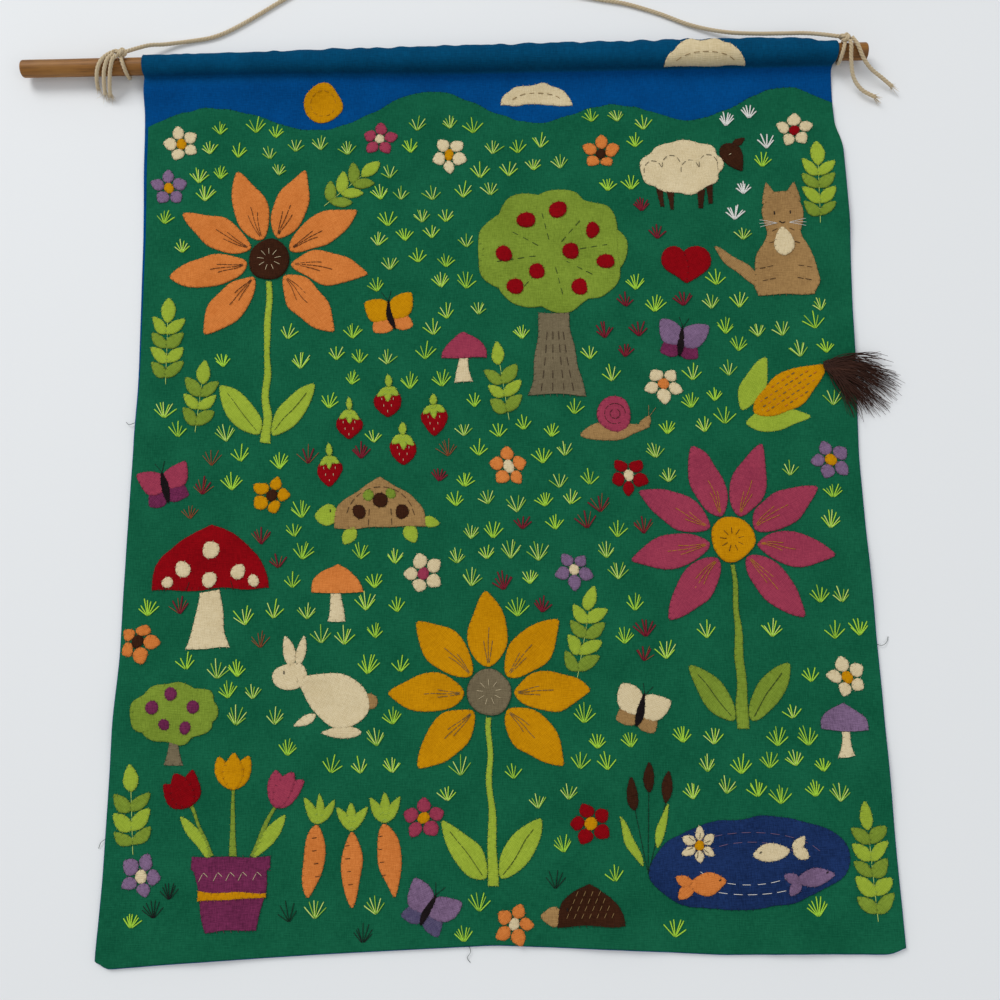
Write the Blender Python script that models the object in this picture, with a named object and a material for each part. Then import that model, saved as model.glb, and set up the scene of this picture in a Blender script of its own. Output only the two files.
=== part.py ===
"""Appliqué wall hanging on a wooden dowel, lying face up with its hanging cord slack above it.

A blue ground cloth is turned back round the dowel as a rod sleeve. A green field cloth lies on it up to a
line of hills, and pieces of coloured cotton are applied to both. A cotton cord is knotted round both ends of
the dowel. X runs along the dowel, Y up the cloth and Z out of its face. The origin is under the middle of
the hanging without its cord. Tables and named sizes are in millimetres.
"""

import math
from collections import namedtuple

import bmesh
import bpy
import numpy as np
from mathutils import Euler, Matrix, Vector

MM = 0.001

DOWEL_DIAMETER = 9.5
DOWEL_LENGTH = 463.0
DOWEL_EASED_EDGE = 1.0
DOWEL_SIDES = 28
CORD_DIAMETER = 2.3
CLOTH = 1.0  # thickness of each cloth with its turnings
GAP = 0.3  # between neighbouring pieces
SLEEVE_EASE = 0.5  # between the dowel and the sleeve

CORD_RADIUS = CORD_DIAMETER / 2
DOWEL_RADIUS = DOWEL_DIAMETER / 2
DOWEL_Y = 229.7
DOWEL_Z = CORD_DIAMETER + GAP + DOWEL_RADIUS  # the dowel rests on its two turns of cord
SLEEVE_RADIUS = DOWEL_RADIUS + SLEEVE_EASE
FLAT_TOP = DOWEL_Y - 30.0  # above this the ground cloth rises to the sleeve

ON_GROUND = CLOTH + GAP
ON_FIELD = 2 * (CLOTH + GAP)
ON_SLEEVE = ON_GROUND + 2 * GAP  # round the dowel a flat facet needs more room

COLOURS = {
    "wood": (0.24, 0.11, 0.03),
    "cord": (0.58, 0.46, 0.29),
    "blue": (0.003, 0.065, 0.27),
    "green": (0.008, 0.094, 0.045),
    "cream": (0.77, 0.62, 0.38),
    "mustard": (0.63, 0.28, 0.015),
    "orange": (0.74, 0.19, 0.04),
    "magenta": (0.36, 0.035, 0.13),
    "taupe": (0.19, 0.14, 0.085),
    "brown": (0.065, 0.018, 0.008),
    "tan": (0.39, 0.24, 0.09),
    "red": (0.38, 0.008, 0.012),
    "lime": (0.27, 0.43, 0.04),
    "olive": (0.15, 0.25, 0.06),
    "plum": (0.25, 0.03, 0.12),
    "navy": (0.014, 0.022, 0.14),
    "yarn": (0.02, 0.008, 0.006),
}
ROUGH = {"wood": 0.45}
CLOTH_ROUGHNESS = 0.9

# The ground cloth's outline. Along its sides, up is the distance up the cloth, which past FLAT_TOP runs on
# round the dowel.
Side = namedtuple("Side", "up x")
Rim = namedtuple("Rim", "x y")
LEFT_EDGE = [
    Side(-233.5, -173.0), Side(-199.0, -171.0), Side(-161.5, -170.0), Side(-123.5, -169.0),
    Side(-92.0, -167.0), Side(-62.5, -166.5), Side(-21.5, -165.5), Side(12.0, -164.5),
    Side(47.0, -163.0), Side(136.0, -163.5), Side(213.5, -166.0), Side(265.0, -166.0),
]
RIGHT_EDGE = [
    Side(-236.0, 215.0), Side(-186.5, 214.0), Side(-116.0, 213.5), Side(-67.5, 212.5), Side(4.0, 211.5),
    Side(37.5, 213.0), Side(72.5, 214.0), Side(132.5, 216.5), Side(179.0, 216.5), Side(188.5, 213.0),
    Side(205.0, 212.5), Side(222.0, 212.5), Side(234.0, 215.0), Side(265.0, 213.5),
]
BOTTOM_EDGE = [
    Rim(-173.0, -233.5), Rim(-169.0, -239.0), Rim(-127.0, -236.5), Rim(-65.5, -234.0), Rim(19.5, -231.5),
    Rim(82.0, -235.0), Rim(127.0, -238.0), Rim(173.0, -238.5), Rim(208.5, -239.5), Rim(215.0, -236.0),
]
TOP_EDGE = [
    Rim(-166.0, 236.0), Rim(-107.5, 237.0), Rim(-53.0, 238.0), Rim(18.5, 238.5), Rim(101.0, 239.0),
    Rim(171.0, 239.5), Rim(199.0, 238.5), Rim(203.0, 236.5), Rim(214.0, 236.0),
]

# The cloth's inner face where it rises to the sleeve, and where its turned-back layer ends. y is from the
# dowel's axis.
Rise = namedtuple("Rise", "y z")
SLEEVE_RISE = [
    Rise(-30.0, 0.0), Rise(-23.0, 0.3), Rise(-16.5, 1.1), Rise(-11.5, 2.4), Rise(-8.5, 2.9), Rise(-6.6, 4.4),
]
SLEEVE_BACK = [Rise(-4.5, 2.0), Rise(-9.5, 2.0)]
SLEEVE_TURN_DEGREES = range(180, -91, -18)  # from the dowel's near side over the top to the underside
SLACK_SPREAD = 0.6  # how the slack on the dowel's far side spreads round it: 0 evenly, 1 to the far point

# Soft ridges in the cloth: the middle of each, its direction in degrees from +X, how far it runs each way,
# how wide it spreads each way, and its height. All that is lower than LIES_FLAT lies on the table.
Fold = namedtuple("Fold", "x y turn reach spread height")
LIES_FLAT = 0.12
FOLDS = [
    Fold(28, 0, 88.8, 205, 15, 1.0),
    Fold(180, 190, -35, 40, 17, 1.1),
    Fold(213, 143, 5, 34, 22, 1.7),
    Fold(213, 62, -6, 40, 22, 1.5),
    Fold(213, -62, 8, 46, 22, 1.5),
    Fold(214, -160, -10, 34, 21, 1.3),
    Fold(-166, 168, 12, 34, 20, 1.2),
    Fold(-165, 30, -12, 30, 18, 1.0),
    Fold(-170, -120, 10, 34, 20, 1.3),
    Fold(-118, -236, 78, 30, 20, 1.2),
    Fold(72, -234, 100, 38, 22, 1.4),
    Fold(168, -237, 80, 26, 20, 1.2),
    Fold(-60, 40, 22, 44, 17, 0.8),
    Fold(104, 70, -38, 46, 18, 0.9),
    Fold(-58, -150, 55, 40, 17, 0.8),
    Fold(96, -118, 14, 34, 17, 0.7),
]

# The field cloth's top edge: rounded hills above a common base line.
Hill = namedtuple("Hill", "x crest spread")
HILL_BASE = 184.0
HILLS = [Hill(-128, 207, 46), Hill(-8, 214, 44), Hill(92, 204, 36), Hill(186, 212, 40)]
FIELD_INSET_SIDE = 1.5
FIELD_INSET_LEFT_TOP = 5.0  # the ground cloth shows this wide down the left side at the top
FIELD_INSET_BOTTOM = 1.2

# Columns and rows of the big cloths' grids, as shares across and up the flat part.
ACROSS = np.concatenate([[0.0, 0.011], np.linspace(0.05, 0.94, 21), [0.984, 1.0]])
FLAT_ROWS = np.linspace(0.0, 1.0, 27)
FIT_PASSES = 3  # the side edges depend on the height and the bottom edge on the place across

HANGING_CORD = [  # from the left knot down to the table, round the loop and up to the right knot
    (-173.2, 236.0, 11.9), (-168.6, 239.8, 8.8), (-162.4, 243.8, 5.4), (-156.0, 245.4, 3.2),
    (-148.9, 247.0, 1.9), (-139.0, 248.6, 1.3), (-130.3, 250.1, 1.25), (-121.4, 253.4, 1.25),
    (-108.7, 260.6, 1.25), (-90.5, 272.4, 1.25), (-78.0, 279.8, 1.25), (-62.0, 286.4, 1.25),
    (-42.0, 290.2, 1.25), (-20.0, 290.6, 1.25), (5.0, 287.6, 1.25), (30.0, 282.4, 1.25),
    (55.0, 276.4, 1.25), (72.0, 272.2, 1.25), (88.0, 268.6, 1.25), (102.0, 265.6, 1.25),
    (119.5, 259.4, 1.25), (137.0, 251.6, 1.5), (154.5, 246.0, 3.2), (171.5, 242.8, 5.8),
    (188.0, 241.3, 7.8), (197.0, 240.7, 8.6), (206.0, 239.2, 9.6), (215.6, 236.1, 11.9),
]
TAILS = {
    "tail_left_1": [
        (-179.3, 236.0, 12.5), (-183.2, 233.2, 13.4), (-186.0, 229.5, 14.0), (-188.2, 225.4, 12.5),
        (-189.6, 221.5, 8.8), (-190.3, 218.8, 4.2),
    ],
    "tail_left_2": [
        (-179.1, 233.4, 14.2), (-181.8, 230.8, 14.5), (-183.4, 227.6, 13.8), (-184.9, 223.8, 11.5),
        (-186.0, 219.0, 7.4), (-186.5, 215.8, 3.4),
    ],
    "tail_left_3": [
        (-177.4, 231.7, 15.2), (-179.2, 229.6, 15.2), (-180.7, 226.2, 13.4), (-182.0, 222.6, 10.6),
        (-183.2, 218.0, 6.6), (-183.8, 215.0, 3.2),
    ],
    "tail_right_1": [
        (220.1, 231.9, 15.1), (220.6, 228.4, 14.9), (221.0, 223.0, 12.0), (223.0, 214.8, 7.2),
        (227.9, 208.7, 4.4), (235.6, 204.6, 3.2),
    ],
    "tail_right_2": [
        (221.7, 234.3, 13.9), (224.4, 229.4, 14.3), (227.9, 223.0, 11.6), (232.7, 218.7, 8.2),
        (239.2, 214.9, 5.4), (245.0, 210.8, 3.4),
    ],
}
CORD_STEP, TAIL_STEP = 2.6 * CORD_DIAMETER, 2 * CORD_DIAMETER
CORD_SIDES = 8
ROUTE_SAMPLES = 16  # between two of a route's own points

Knot = namedtuple("Knot", "x y z wrap_x wrap_turn")
KNOTS = {
    "knot_left": Knot(-176.0, 233.9, 12.3, -174.9, 18),
    "knot_right": Knot(218.3, 233.9, 12.3, 217.4, -14),
}
KNOT_TURN_RADIUS = 1.55
LOWER_TURN_OUT, UPPER_TURN_OUT = 0.4, 1.6  # past the knot's middle, away from the dowel
UPPER_TURN_TILT, UPPER_TURN_LEAN = 0.45, 0.5  # radians
WRAP_STEPS, TURN_STEPS = 18, 12

# Applied pieces. x and y place a piece's root, or the middle of a round one, and turn is the way it grows, in
# degrees from +X. Flowers are listed by their middle. One place among their petals is left for the stem.
Piece = namedtuple("Piece", "name shape colour x y turn length width")
Flower = namedtuple("Flower", "name x y petals petal_length petal_width petal heart stem leaf")
HEART_DIAMETER = 22.0
PETAL_GAP = 0.8
STEM_WIDTH = 5.5
LEAF_LENGTH, LEAF_WIDTH, LEAF_TURN = 34.0, 13.0, 38.0
LEAF_UP = 4.0  # from the stem's foot
FLOWERS = [
    Flower("orange_daisy", -95, 118, 8, 41, 17, "orange", "brown", 100, "lime"),
    Flower("magenta_daisy", 143, -38, 8, 40, 17, "magenta", "mustard", 94, "olive"),
    Flower("mustard_daisy", 18, -112, 7, 38, 19, "mustard", "taupe", 92, "lime"),
]
PIECES = [
    Piece("tree_crown", "scallop", "olive", 56, 120, 0, 82, 70),
    Piece("tree_trunk", "trunk", "taupe", 56, 40, 90, 45, 31),
    Piece("mushroom_cap", "dome", "red", -122, -58, 90, 34, 58),
    Piece("mushroom_stem", "trunk", "cream", -122, -88, 90, 29, 22),
    Piece("pond", "disc", "navy", 142, -196, 4, 98, 42),
    Piece("sheep", "scallop", "cream", 128, 166, 4, 46, 31),
    Piece("cat", "cat", "tan", 180, 92, 90, 58, 36),
    Piece("tortoise", "dome", "tan", -36, -28, 90, 26, 46),
    Piece("pot", "pot", "plum", -108, -222, 90, 34, 40),
    Piece("corn_cob", "petal", "mustard", 158, 28, 32, 46, 19),
]
SKY_PIECES = [
    Piece("sun", "disc", "mustard", -67, 208, 0, 21, 21),
    Piece("cloud_low", "cloud", "cream", 50, 205, 0, 40, 12),
]
SLEEVE_CLOUD = Piece("cloud_high", "cloud", "cream", 142, 227.5, 0, 46, 12)

# The corn silk: locks of yarn that fan out from their sewn root and bend down, one turn to the next.
SILK_ROOT = (196.5, 52.0, 4.6)
SILK_PALM = 7.0  # from the root to where the locks part
SILK_THICKNESS = 2.0
SILK_DROOP, SILK_DROOP_RUN = 2.4, 8.0  # past the cloth's edge
SILK_FIRST_TURN, SILK_TURN_STEP = 36.0, -17.0
SilkLock = namedtuple("SilkLock", "length bend")
SILK = [
    SilkLock(22, -40), SilkLock(28, -34), SilkLock(31, -28),
    SilkLock(29, -22), SilkLock(26, -14), SilkLock(21, -8),
]
SILK_STEPS = 6
SILK_TAPER = 0.6  # of a lock's width, lost by its tip


def material(kind):
    """A plain surface in one of the named colours, made once."""
    if kind in bpy.data.materials:
        return bpy.data.materials[kind]
    made = bpy.data.materials.new(kind)
    made.use_nodes = True
    surface = made.node_tree.nodes["Principled BSDF"]
    surface.inputs["Base Color"].default_value = (*COLOURS[kind], 1.0)
    surface.inputs["Roughness"].default_value = ROUGH.get(kind, CLOTH_ROUGHNESS)
    surface.inputs["Metallic"].default_value = 0.0
    return made


def add_object(name, data, kind):
    """Links a mesh or a curve under its node's name, with its material."""
    made = bpy.data.objects.new(name, data)
    data.materials.append(material(kind))
    bpy.context.collection.objects.link(made)
    return made


def columns(rows):
    """A table's columns as arrays, by name."""
    return {field: np.array([getattr(row, field) for row in rows], float) for field in rows[0]._fields}


def along(rows, at, value, where):
    """One column of a table read between its rows by another column."""
    table = columns(rows)
    return np.interp(where, table[at], table[value])


def ripple(x, y):
    """Height of the soft folds: bells across and along each ridge, less what lies flat."""
    total = np.zeros(np.broadcast(x, y).shape)
    for fold in FOLDS:
        turn = math.radians(fold.turn)
        run = (x - fold.x) * math.cos(turn) + (y - fold.y) * math.sin(turn)
        aside = (y - fold.y) * math.cos(turn) - (x - fold.x) * math.sin(turn)
        total = total + fold.height * np.exp(-((aside / fold.spread) ** 2) - (run / fold.reach) ** 4)
    return np.maximum(total - LIES_FLAT, 0.0)


def sleeve_section(x):
    """The inner face from FLAT_TOP to its turned-back end: y and z for each x, and the way up the cloth."""
    slack = np.maximum(along(TOP_EDGE, "x", "y", x) - (DOWEL_Y + SLEEVE_RADIUS + CLOTH), 0.0)[:, None]
    angles = np.radians(np.array(SLEEVE_TURN_DEGREES, float))
    rise, back = columns(SLEEVE_RISE), columns(SLEEVE_BACK)
    y = np.concatenate([rise["y"], SLEEVE_RADIUS * np.cos(angles), back["y"]])
    z = np.concatenate([rise["z"], DOWEL_Z + SLEEVE_RADIUS * np.sin(angles), back["z"]])
    far_side = np.concatenate([0 * rise["y"], np.maximum(np.cos(angles), 0.0) ** SLACK_SPREAD, 0 * back["y"]])
    up = FLAT_TOP + np.concatenate([[0.0], np.cumsum(np.hypot(np.diff(y), np.diff(z)))])
    return DOWEL_Y + y + slack * far_side, np.broadcast_to(z, (len(x), len(z))), up


def on_cloth(x, up, lift):
    """Points at a height over the ground cloth's inner face, for points across and up the cloth."""
    x, up = np.broadcast_arrays(np.asarray(x, float), np.asarray(up, float))
    section_y, section_z, section_up = sleeve_section(x.ravel())
    slope_y, slope_z = np.gradient(section_y, axis=1), np.gradient(section_z, axis=1)
    steep = np.hypot(slope_y, slope_z)
    place = np.zeros((x.size, 3))
    for i, (across, height) in enumerate(zip(x.ravel(), up.ravel())):
        if height <= FLAT_TOP:
            place[i] = across, height, lift
        else:
            y, z, tilt_y, tilt_z = (
                np.interp(height, section_up, row)
                for row in (section_y[i], section_z[i], slope_y[i] / steep[i], slope_z[i] / steep[i])
            )
            place[i] = across, y - tilt_z * lift, z + tilt_y * lift
    place[:, 2] += ripple(x.ravel(), up.ravel())
    return place.reshape(*x.shape, 3)


def grid_solid(name, low, high, kind):
    """A closed solid between two grids of points, with a rim all round."""
    rows, wide = low.shape[:2]
    count = rows * wide
    index = np.arange(count).reshape(rows, wide)
    quads = np.stack([index[:-1, :-1], index[:-1, 1:], index[1:, 1:], index[1:, :-1]], -1).reshape(-1, 4)
    round_rim = np.concatenate([index[0, :-1], index[:-1, -1], index[-1, :0:-1], index[:0:-1, 0]])
    rim = np.stack([round_rim, np.roll(round_rim, -1)], -1)
    walls = np.concatenate([rim, rim[:, ::-1] + count], 1)
    faces = np.concatenate([quads + count, quads[:, ::-1], walls])
    points = np.concatenate([low.reshape(-1, 3), high.reshape(-1, 3)]) * MM
    mesh = bpy.data.meshes.new(name)
    mesh.from_pydata(points.tolist(), [], faces.tolist())
    return add_object(name, mesh, kind)


def cloth_grid(top_rows, left_inset, right_inset, bottom_inset, top_line):
    """Points across and up a big cloth: straight between its sides, and from bottom edge to top line."""
    share = FLAT_ROWS[:, None]
    middle = np.interp(share, [0, 1], [BOTTOM_EDGE[0].y, FLAT_TOP])
    for _ in range(FIT_PASSES):
        left = along(LEFT_EDGE, "up", "x", middle) + left_inset(middle)
        right = along(RIGHT_EDGE, "up", "x", middle) - right_inset
        x = left + (right - left) * ACROSS
        bottom = along(BOTTOM_EDGE, "x", "y", x) + bottom_inset
        middle = bottom + (top_line(x) - bottom) * share
    if len(top_rows):
        above = np.repeat(top_rows[:, None], len(ACROSS), 1)
        left, right = (along(edge, "up", "x", above) for edge in (LEFT_EDGE, RIGHT_EDGE))
        x = np.concatenate([x, left + (right - left) * ACROSS])
        middle = np.concatenate([middle, above])
    return x, middle


def hill_line(x):
    """The field cloth's top edge: bells over the base line."""
    bells = [(hill.crest - HILL_BASE) * np.exp(-(((x - hill.x) / hill.spread) ** 2)) for hill in HILLS]
    return HILL_BASE + sum(bells)


def ground_cloth():
    """The blue cloth, flat below and turned back round the dowel above."""
    sleeve_rows = sleeve_section(np.array([0.0]))[2][1:]
    x, up = cloth_grid(sleeve_rows, lambda up: 0 * up, 0.0, 0.0, lambda x: 0 * x + FLAT_TOP)
    return grid_solid("ground_cloth", on_cloth(x, up, 0.0), on_cloth(x, up, CLOTH), "blue")


def field_cloth():
    """The green cloth on the ground cloth, up to the hills."""

    def inset(up):
        return np.interp(up, [90, 195], [FIELD_INSET_SIDE, FIELD_INSET_LEFT_TOP])

    x, up = cloth_grid(np.array([]), inset, FIELD_INSET_SIDE, FIELD_INSET_BOTTOM, hill_line)
    return grid_solid("field_cloth", on_cloth(x, up, ON_GROUND), on_cloth(x, up, ON_GROUND + CLOTH), "green")


# Outlines of the applied pieces: the lower and upper side at equal steps along a piece, from 0 to 1.
BLUNT = 0.5  # half width left at a pointed end
LOBES = 9
LOBE_DEPTH = 0.1


def lobed(angle):
    """A round edge's radius where it is cut into lobes, as a share of the full radius."""
    return 1 - LOBE_DEPTH + LOBE_DEPTH * np.abs(np.cos(LOBES * angle / 2))


def petal(step, length, width, root_side=0.85, fullness=0.8):
    half = width / 2 * np.sin(np.pi * step**root_side) ** fullness + BLUNT
    return length * step, -half, half


def disc(step, length, width):
    half = width / 2 * np.sin(np.pi * step) + BLUNT
    return -length / 2 * np.cos(np.pi * step), -half, half


def scallop(step, length, width):
    angle = np.pi * (1 - step)
    half = width / 2 * lobed(angle) * np.sin(angle) + BLUNT
    return length / 2 * lobed(angle) * np.cos(angle), -half, half


def cloud(step, length, width):
    angle = np.pi * (1 - step)
    return length / 2 * np.cos(angle), 0 * step, width * lobed(angle) * np.sin(angle) + 2 * BLUNT


def trunk(step, length, width, top_share=0.5, flare=1.6):
    half = width / 2 * (top_share + (1 - top_share) * (1 - step) ** flare)
    return length * step, -half, half


def dome(step, length, width, flatness=1.4):
    half = width / 2 * np.cos(np.pi / 2 * step**flatness) + BLUNT
    return length * step, -half, half


def pot(step, length, width, foot=0.62, belly=0.3, rim=0.08, rim_from=0.8):
    half = width / 2 * (foot + belly * np.sin(np.pi / 2 * step) + rim * (step > rim_from))
    return length * step, -half, half


Girth = namedtuple("Girth", "step width")
CAT_OUTLINE = [
    Girth(0.0, 0.80), Girth(0.12, 1.0), Girth(0.32, 0.92), Girth(0.5, 0.66), Girth(0.6, 0.5),
    Girth(0.7, 0.62), Girth(0.84, 0.62), Girth(0.94, 0.46), Girth(1.0, 0.2),
]


def cat(step, length, width):
    half = width / 2 * along(CAT_OUTLINE, "step", "width", step)
    return length * step, -half, half


SHAPES = {shape.__name__: shape for shape in (petal, disc, scallop, cloud, trunk, dome, pot, cat)}
STEP_LENGTH, FEWEST_STEPS = 7.0, 7  # along an outline
STEP_WIDTH = 13.0
STEP_ROUND_SLEEVE = 1.7


def applied(piece, level, step_width=STEP_WIDTH):
    """One applied piece: its outline's two sides with rows between them, laid on the cloth."""
    steps = max(FEWEST_STEPS, round(piece.length / STEP_LENGTH))
    run, low, high = SHAPES[piece.shape](np.linspace(0, 1, steps + 1), piece.length, piece.width)
    rows = np.linspace(0, 1, 1 + max(1, round(piece.width / step_width)))[:, None]
    aside = low + (high - low) * rows
    turn = math.radians(piece.turn)
    x = piece.x + run * math.cos(turn) - aside * math.sin(turn)
    y = piece.y + run * math.sin(turn) + aside * math.cos(turn)
    return grid_solid(piece.name, on_cloth(x, y, level), on_cloth(x, y, level + CLOTH), piece.colour)


def flower_pieces(flower):
    """A flower's petals round its heart, and its stem with two leaves, as rows of the table of pieces."""
    reach = HEART_DIAMETER / 2 + PETAL_GAP + BLUNT
    places = flower.petals + 1
    name, long, wide = flower.name, flower.petal_length, flower.petal_width
    size = HEART_DIAMETER
    rows = [Piece(name + "_heart", "disc", flower.heart, flower.x, flower.y, 0, size, size)]
    for number in range(1, places):
        turn = 270 + 360 * number / places
        x = flower.x + reach * math.cos(math.radians(turn))
        y = flower.y + reach * math.sin(math.radians(turn))
        rows.append(Piece(f"{name}_petal_{number}", "petal", flower.petal, x, y, turn, long, wide))
    foot, up = flower.y - flower.stem, flower.stem - reach
    rows.append(Piece(name + "_stem", "trunk", flower.leaf, flower.x, foot, 90, up, STEM_WIDTH))
    for side, end in ((-1, "_leaf_right"), (1, "_leaf_left")):
        x, y, turn = flower.x - side * (STEM_WIDTH / 2 + PETAL_GAP), foot + LEAF_UP, 90 + side * LEAF_TURN
        rows.append(Piece(name + end, "petal", flower.leaf, x, y, turn, LEAF_LENGTH, LEAF_WIDTH))
    return rows


def smooth_route(points, spacing):
    """Points at an even spacing along a smooth curve through a route's own points."""
    knots = np.array(points, float)
    ends = np.concatenate([[2 * knots[0] - knots[1]], knots, [2 * knots[-1] - knots[-2]]])
    step = np.arange(ROUTE_SAMPLES)[:, None, None] / ROUTE_SAMPLES
    before, start, end, after = (ends[i : len(knots) - 1 + i] for i in range(4))
    curve = 0.5 * (
        2 * start
        + (end - before) * step
        + (2 * before - 5 * start + 4 * end - after) * step**2
        + (3 * start - before - 3 * end + after) * step**3
    )
    curve = np.concatenate([curve.transpose(1, 0, 2).reshape(-1, 3), knots[-1:]])
    run = np.concatenate([[0.0], np.cumsum(np.linalg.norm(np.diff(curve, axis=0), axis=1))])
    even = np.linspace(0, run[-1], round(run[-1] / spacing) + 1)
    return np.stack([np.interp(even, run, curve[:, axis]) for axis in range(3)], -1)


def cord(name, points, spacing):
    """A round cord along a route, with closed ends."""
    route = smooth_route(points, spacing)
    curve = bpy.data.curves.new(name, "CURVE")
    curve.dimensions = "3D"
    curve.bevel_depth = CORD_RADIUS * MM
    curve.bevel_resolution = 2
    curve.use_fill_caps = True
    spline = curve.splines.new("POLY")
    spline.points.add(len(route) - 1)
    for point, place in zip(spline.points, route * MM):
        point.co = (*place, 1.0)
    return add_object(name, curve, "cord")


def ring(radius, steps, place, turn):
    """A turn of cord as a torus about Z, turned and put in its place."""
    mesh = bpy.data.meshes.new("turn")
    shape = bmesh.new()
    section = [
        shape.verts.new((radius + CORD_RADIUS * math.cos(a), 0, CORD_RADIUS * math.sin(a)))
        for a in np.linspace(0, 2 * math.pi, CORD_SIDES, endpoint=False)
    ]
    edges = [shape.edges.new((section[i - 1], section[i])) for i in range(CORD_SIDES)]
    bmesh.ops.spin(
        shape, geom=section + edges, axis=(0, 0, 1), cent=(0, 0, 0), angle=2 * math.pi, steps=steps,
        use_merge=True,
    )
    bmesh.ops.remove_doubles(shape, verts=shape.verts, dist=1e-4)
    bmesh.ops.recalc_face_normals(shape, faces=shape.faces)
    put_in_place = Matrix.Translation(place) @ turn.to_matrix().to_4x4()
    bmesh.ops.transform(shape, matrix=put_in_place, verts=shape.verts)
    bmesh.ops.scale(shape, vec=(MM, MM, MM), verts=shape.verts)
    shape.to_mesh(mesh)
    shape.free()
    return mesh


def join_to(body, meshes):
    """Unites other closed shapes with a body."""
    for number, mesh in enumerate(meshes):
        guide = bpy.data.objects.new(f"{body.name}_{number}", mesh)
        bpy.context.collection.objects.link(guide)
        guide.hide_render = True
        guide.display_type = "WIRE"
        joint = body.modifiers.new("Join", "BOOLEAN")
        joint.operation = "UNION"
        joint.solver = "EXACT"
        joint.object = guide


def knot(name, place):
    """A knot: a turn of cord round the dowel and two crossed turns lying on it."""
    out = math.atan2(place.z - DOWEL_Z, place.y - DOWEL_Y)
    away = Vector((0, math.cos(out), math.sin(out)))
    middle = Vector((place.x, place.y, place.z))
    round_dowel = Euler((math.pi / 2, 0, math.pi / 2 + math.radians(place.wrap_turn)))
    facing = Euler((out - math.pi / 2, 0, 0))
    crossed = Euler((out - math.pi / 2 + UPPER_TURN_TILT, UPPER_TURN_LEAN, 0))
    wrap_middle = Vector((place.wrap_x, DOWEL_Y, DOWEL_Z))
    wrap = ring(DOWEL_RADIUS + GAP + CORD_RADIUS, WRAP_STEPS, wrap_middle, round_dowel)
    made = add_object(name, wrap, "cord")
    join_to(
        made,
        [
            ring(KNOT_TURN_RADIUS, TURN_STEPS, middle + away * LOWER_TURN_OUT, facing),
            ring(KNOT_TURN_RADIUS, TURN_STEPS, middle + away * UPPER_TURN_OUT, crossed),
        ],
    )
    return made


def dowel():
    """The round rod along X, with eased ends."""
    mesh = bpy.data.meshes.new("dowel")
    shape = bmesh.new()
    bmesh.ops.create_cone(
        shape, cap_ends=True, segments=DOWEL_SIDES, radius1=DOWEL_RADIUS * MM, radius2=DOWEL_RADIUS * MM,
        depth=DOWEL_LENGTH * MM,
    )
    shape.to_mesh(mesh)
    shape.free()
    made = add_object("dowel", mesh, "wood")
    made.rotation_euler = (0, math.pi / 2, 0)
    made.location = (0, DOWEL_Y * MM, DOWEL_Z * MM)
    eased = made.modifiers.new("Eased ends", "BEVEL")
    eased.width = DOWEL_EASED_EDGE * MM
    eased.segments = 2
    mesh.shade_smooth()
    mesh.set_sharp_from_angle(angle=math.radians(35))
    return made


def silk_height(x, y):
    """Middle height of the loose yarn: on the cloth, and lower past its right edge."""
    edge = along(RIGHT_EDGE, "up", "x", y)
    return SILK_ROOT[2] + ripple(x, y) - SILK_DROOP * np.clip((x - edge) / SILK_DROOP_RUN, 0, 1)


def corn_silk():
    """The loose yarn at the cob's tip: tapering locks that part from one fused root."""
    turns = np.radians(SILK_FIRST_TURN + SILK_TURN_STEP * np.arange(len(SILK) + 1))
    roots = np.stack([SILK_ROOT[0] + SILK_PALM * np.cos(turns), SILK_ROOT[1] + SILK_PALM * np.sin(turns)], -1)
    outline = [np.array([SILK_ROOT[:2]]), roots]
    share = np.linspace(0, 1, SILK_STEPS + 1)[1:, None]
    for number, lock in enumerate(SILK):
        heading = (turns[number] + turns[number + 1]) / 2 + math.radians(lock.bend) * share
        forward = np.concatenate([np.cos(heading), np.sin(heading)], 1)
        middle = (roots[number] + roots[number + 1]) / 2 + np.cumsum(forward, 0) * lock.length / SILK_STEPS
        half = np.linalg.norm(roots[number] - roots[number + 1]) / 2 * (1 - SILK_TAPER * share)
        aside = np.stack([-forward[:, 1], forward[:, 0]], -1) * half
        outline.append(np.stack([middle + aside, middle - aside], 1).reshape(-1, 2))
    flat = np.concatenate(outline)
    height = silk_height(flat[:, 0], flat[:, 1])
    count = len(flat)
    faces = []

    def wall(a, b):
        faces.append((b, a, a + count, b + count))

    for number in range(len(SILK)):
        left, right = 1 + number, 2 + number
        faces.append((0, right, left))
        first = 1 + len(roots) + 2 * SILK_STEPS * number
        for step in range(SILK_STEPS):
            next_left, next_right = first + 2 * step, first + 2 * step + 1
            faces.append((left, right, next_right, next_left))
            wall(left, next_left)
            wall(next_right, right)
            left, right = next_left, next_right
        wall(left, right)
    wall(0, 1)
    wall(len(roots), 0)
    for face in [face for face in faces if max(face) < count]:
        faces.append(tuple(corner + count for corner in reversed(face)))
    low, high = (np.column_stack([flat, height + side * SILK_THICKNESS / 2]) for side in (-1, 1))
    mesh = bpy.data.meshes.new("corn_silk")
    mesh.from_pydata((np.concatenate([high, low]) * MM).tolist(), [], faces)
    shape = bmesh.new()
    shape.from_mesh(mesh)
    bmesh.ops.recalc_face_normals(shape, faces=shape.faces)
    shape.to_mesh(mesh)
    shape.free()
    return add_object("corn_silk", mesh, "yarn")


for old in list(bpy.data.objects):
    bpy.data.objects.remove(old)

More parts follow.
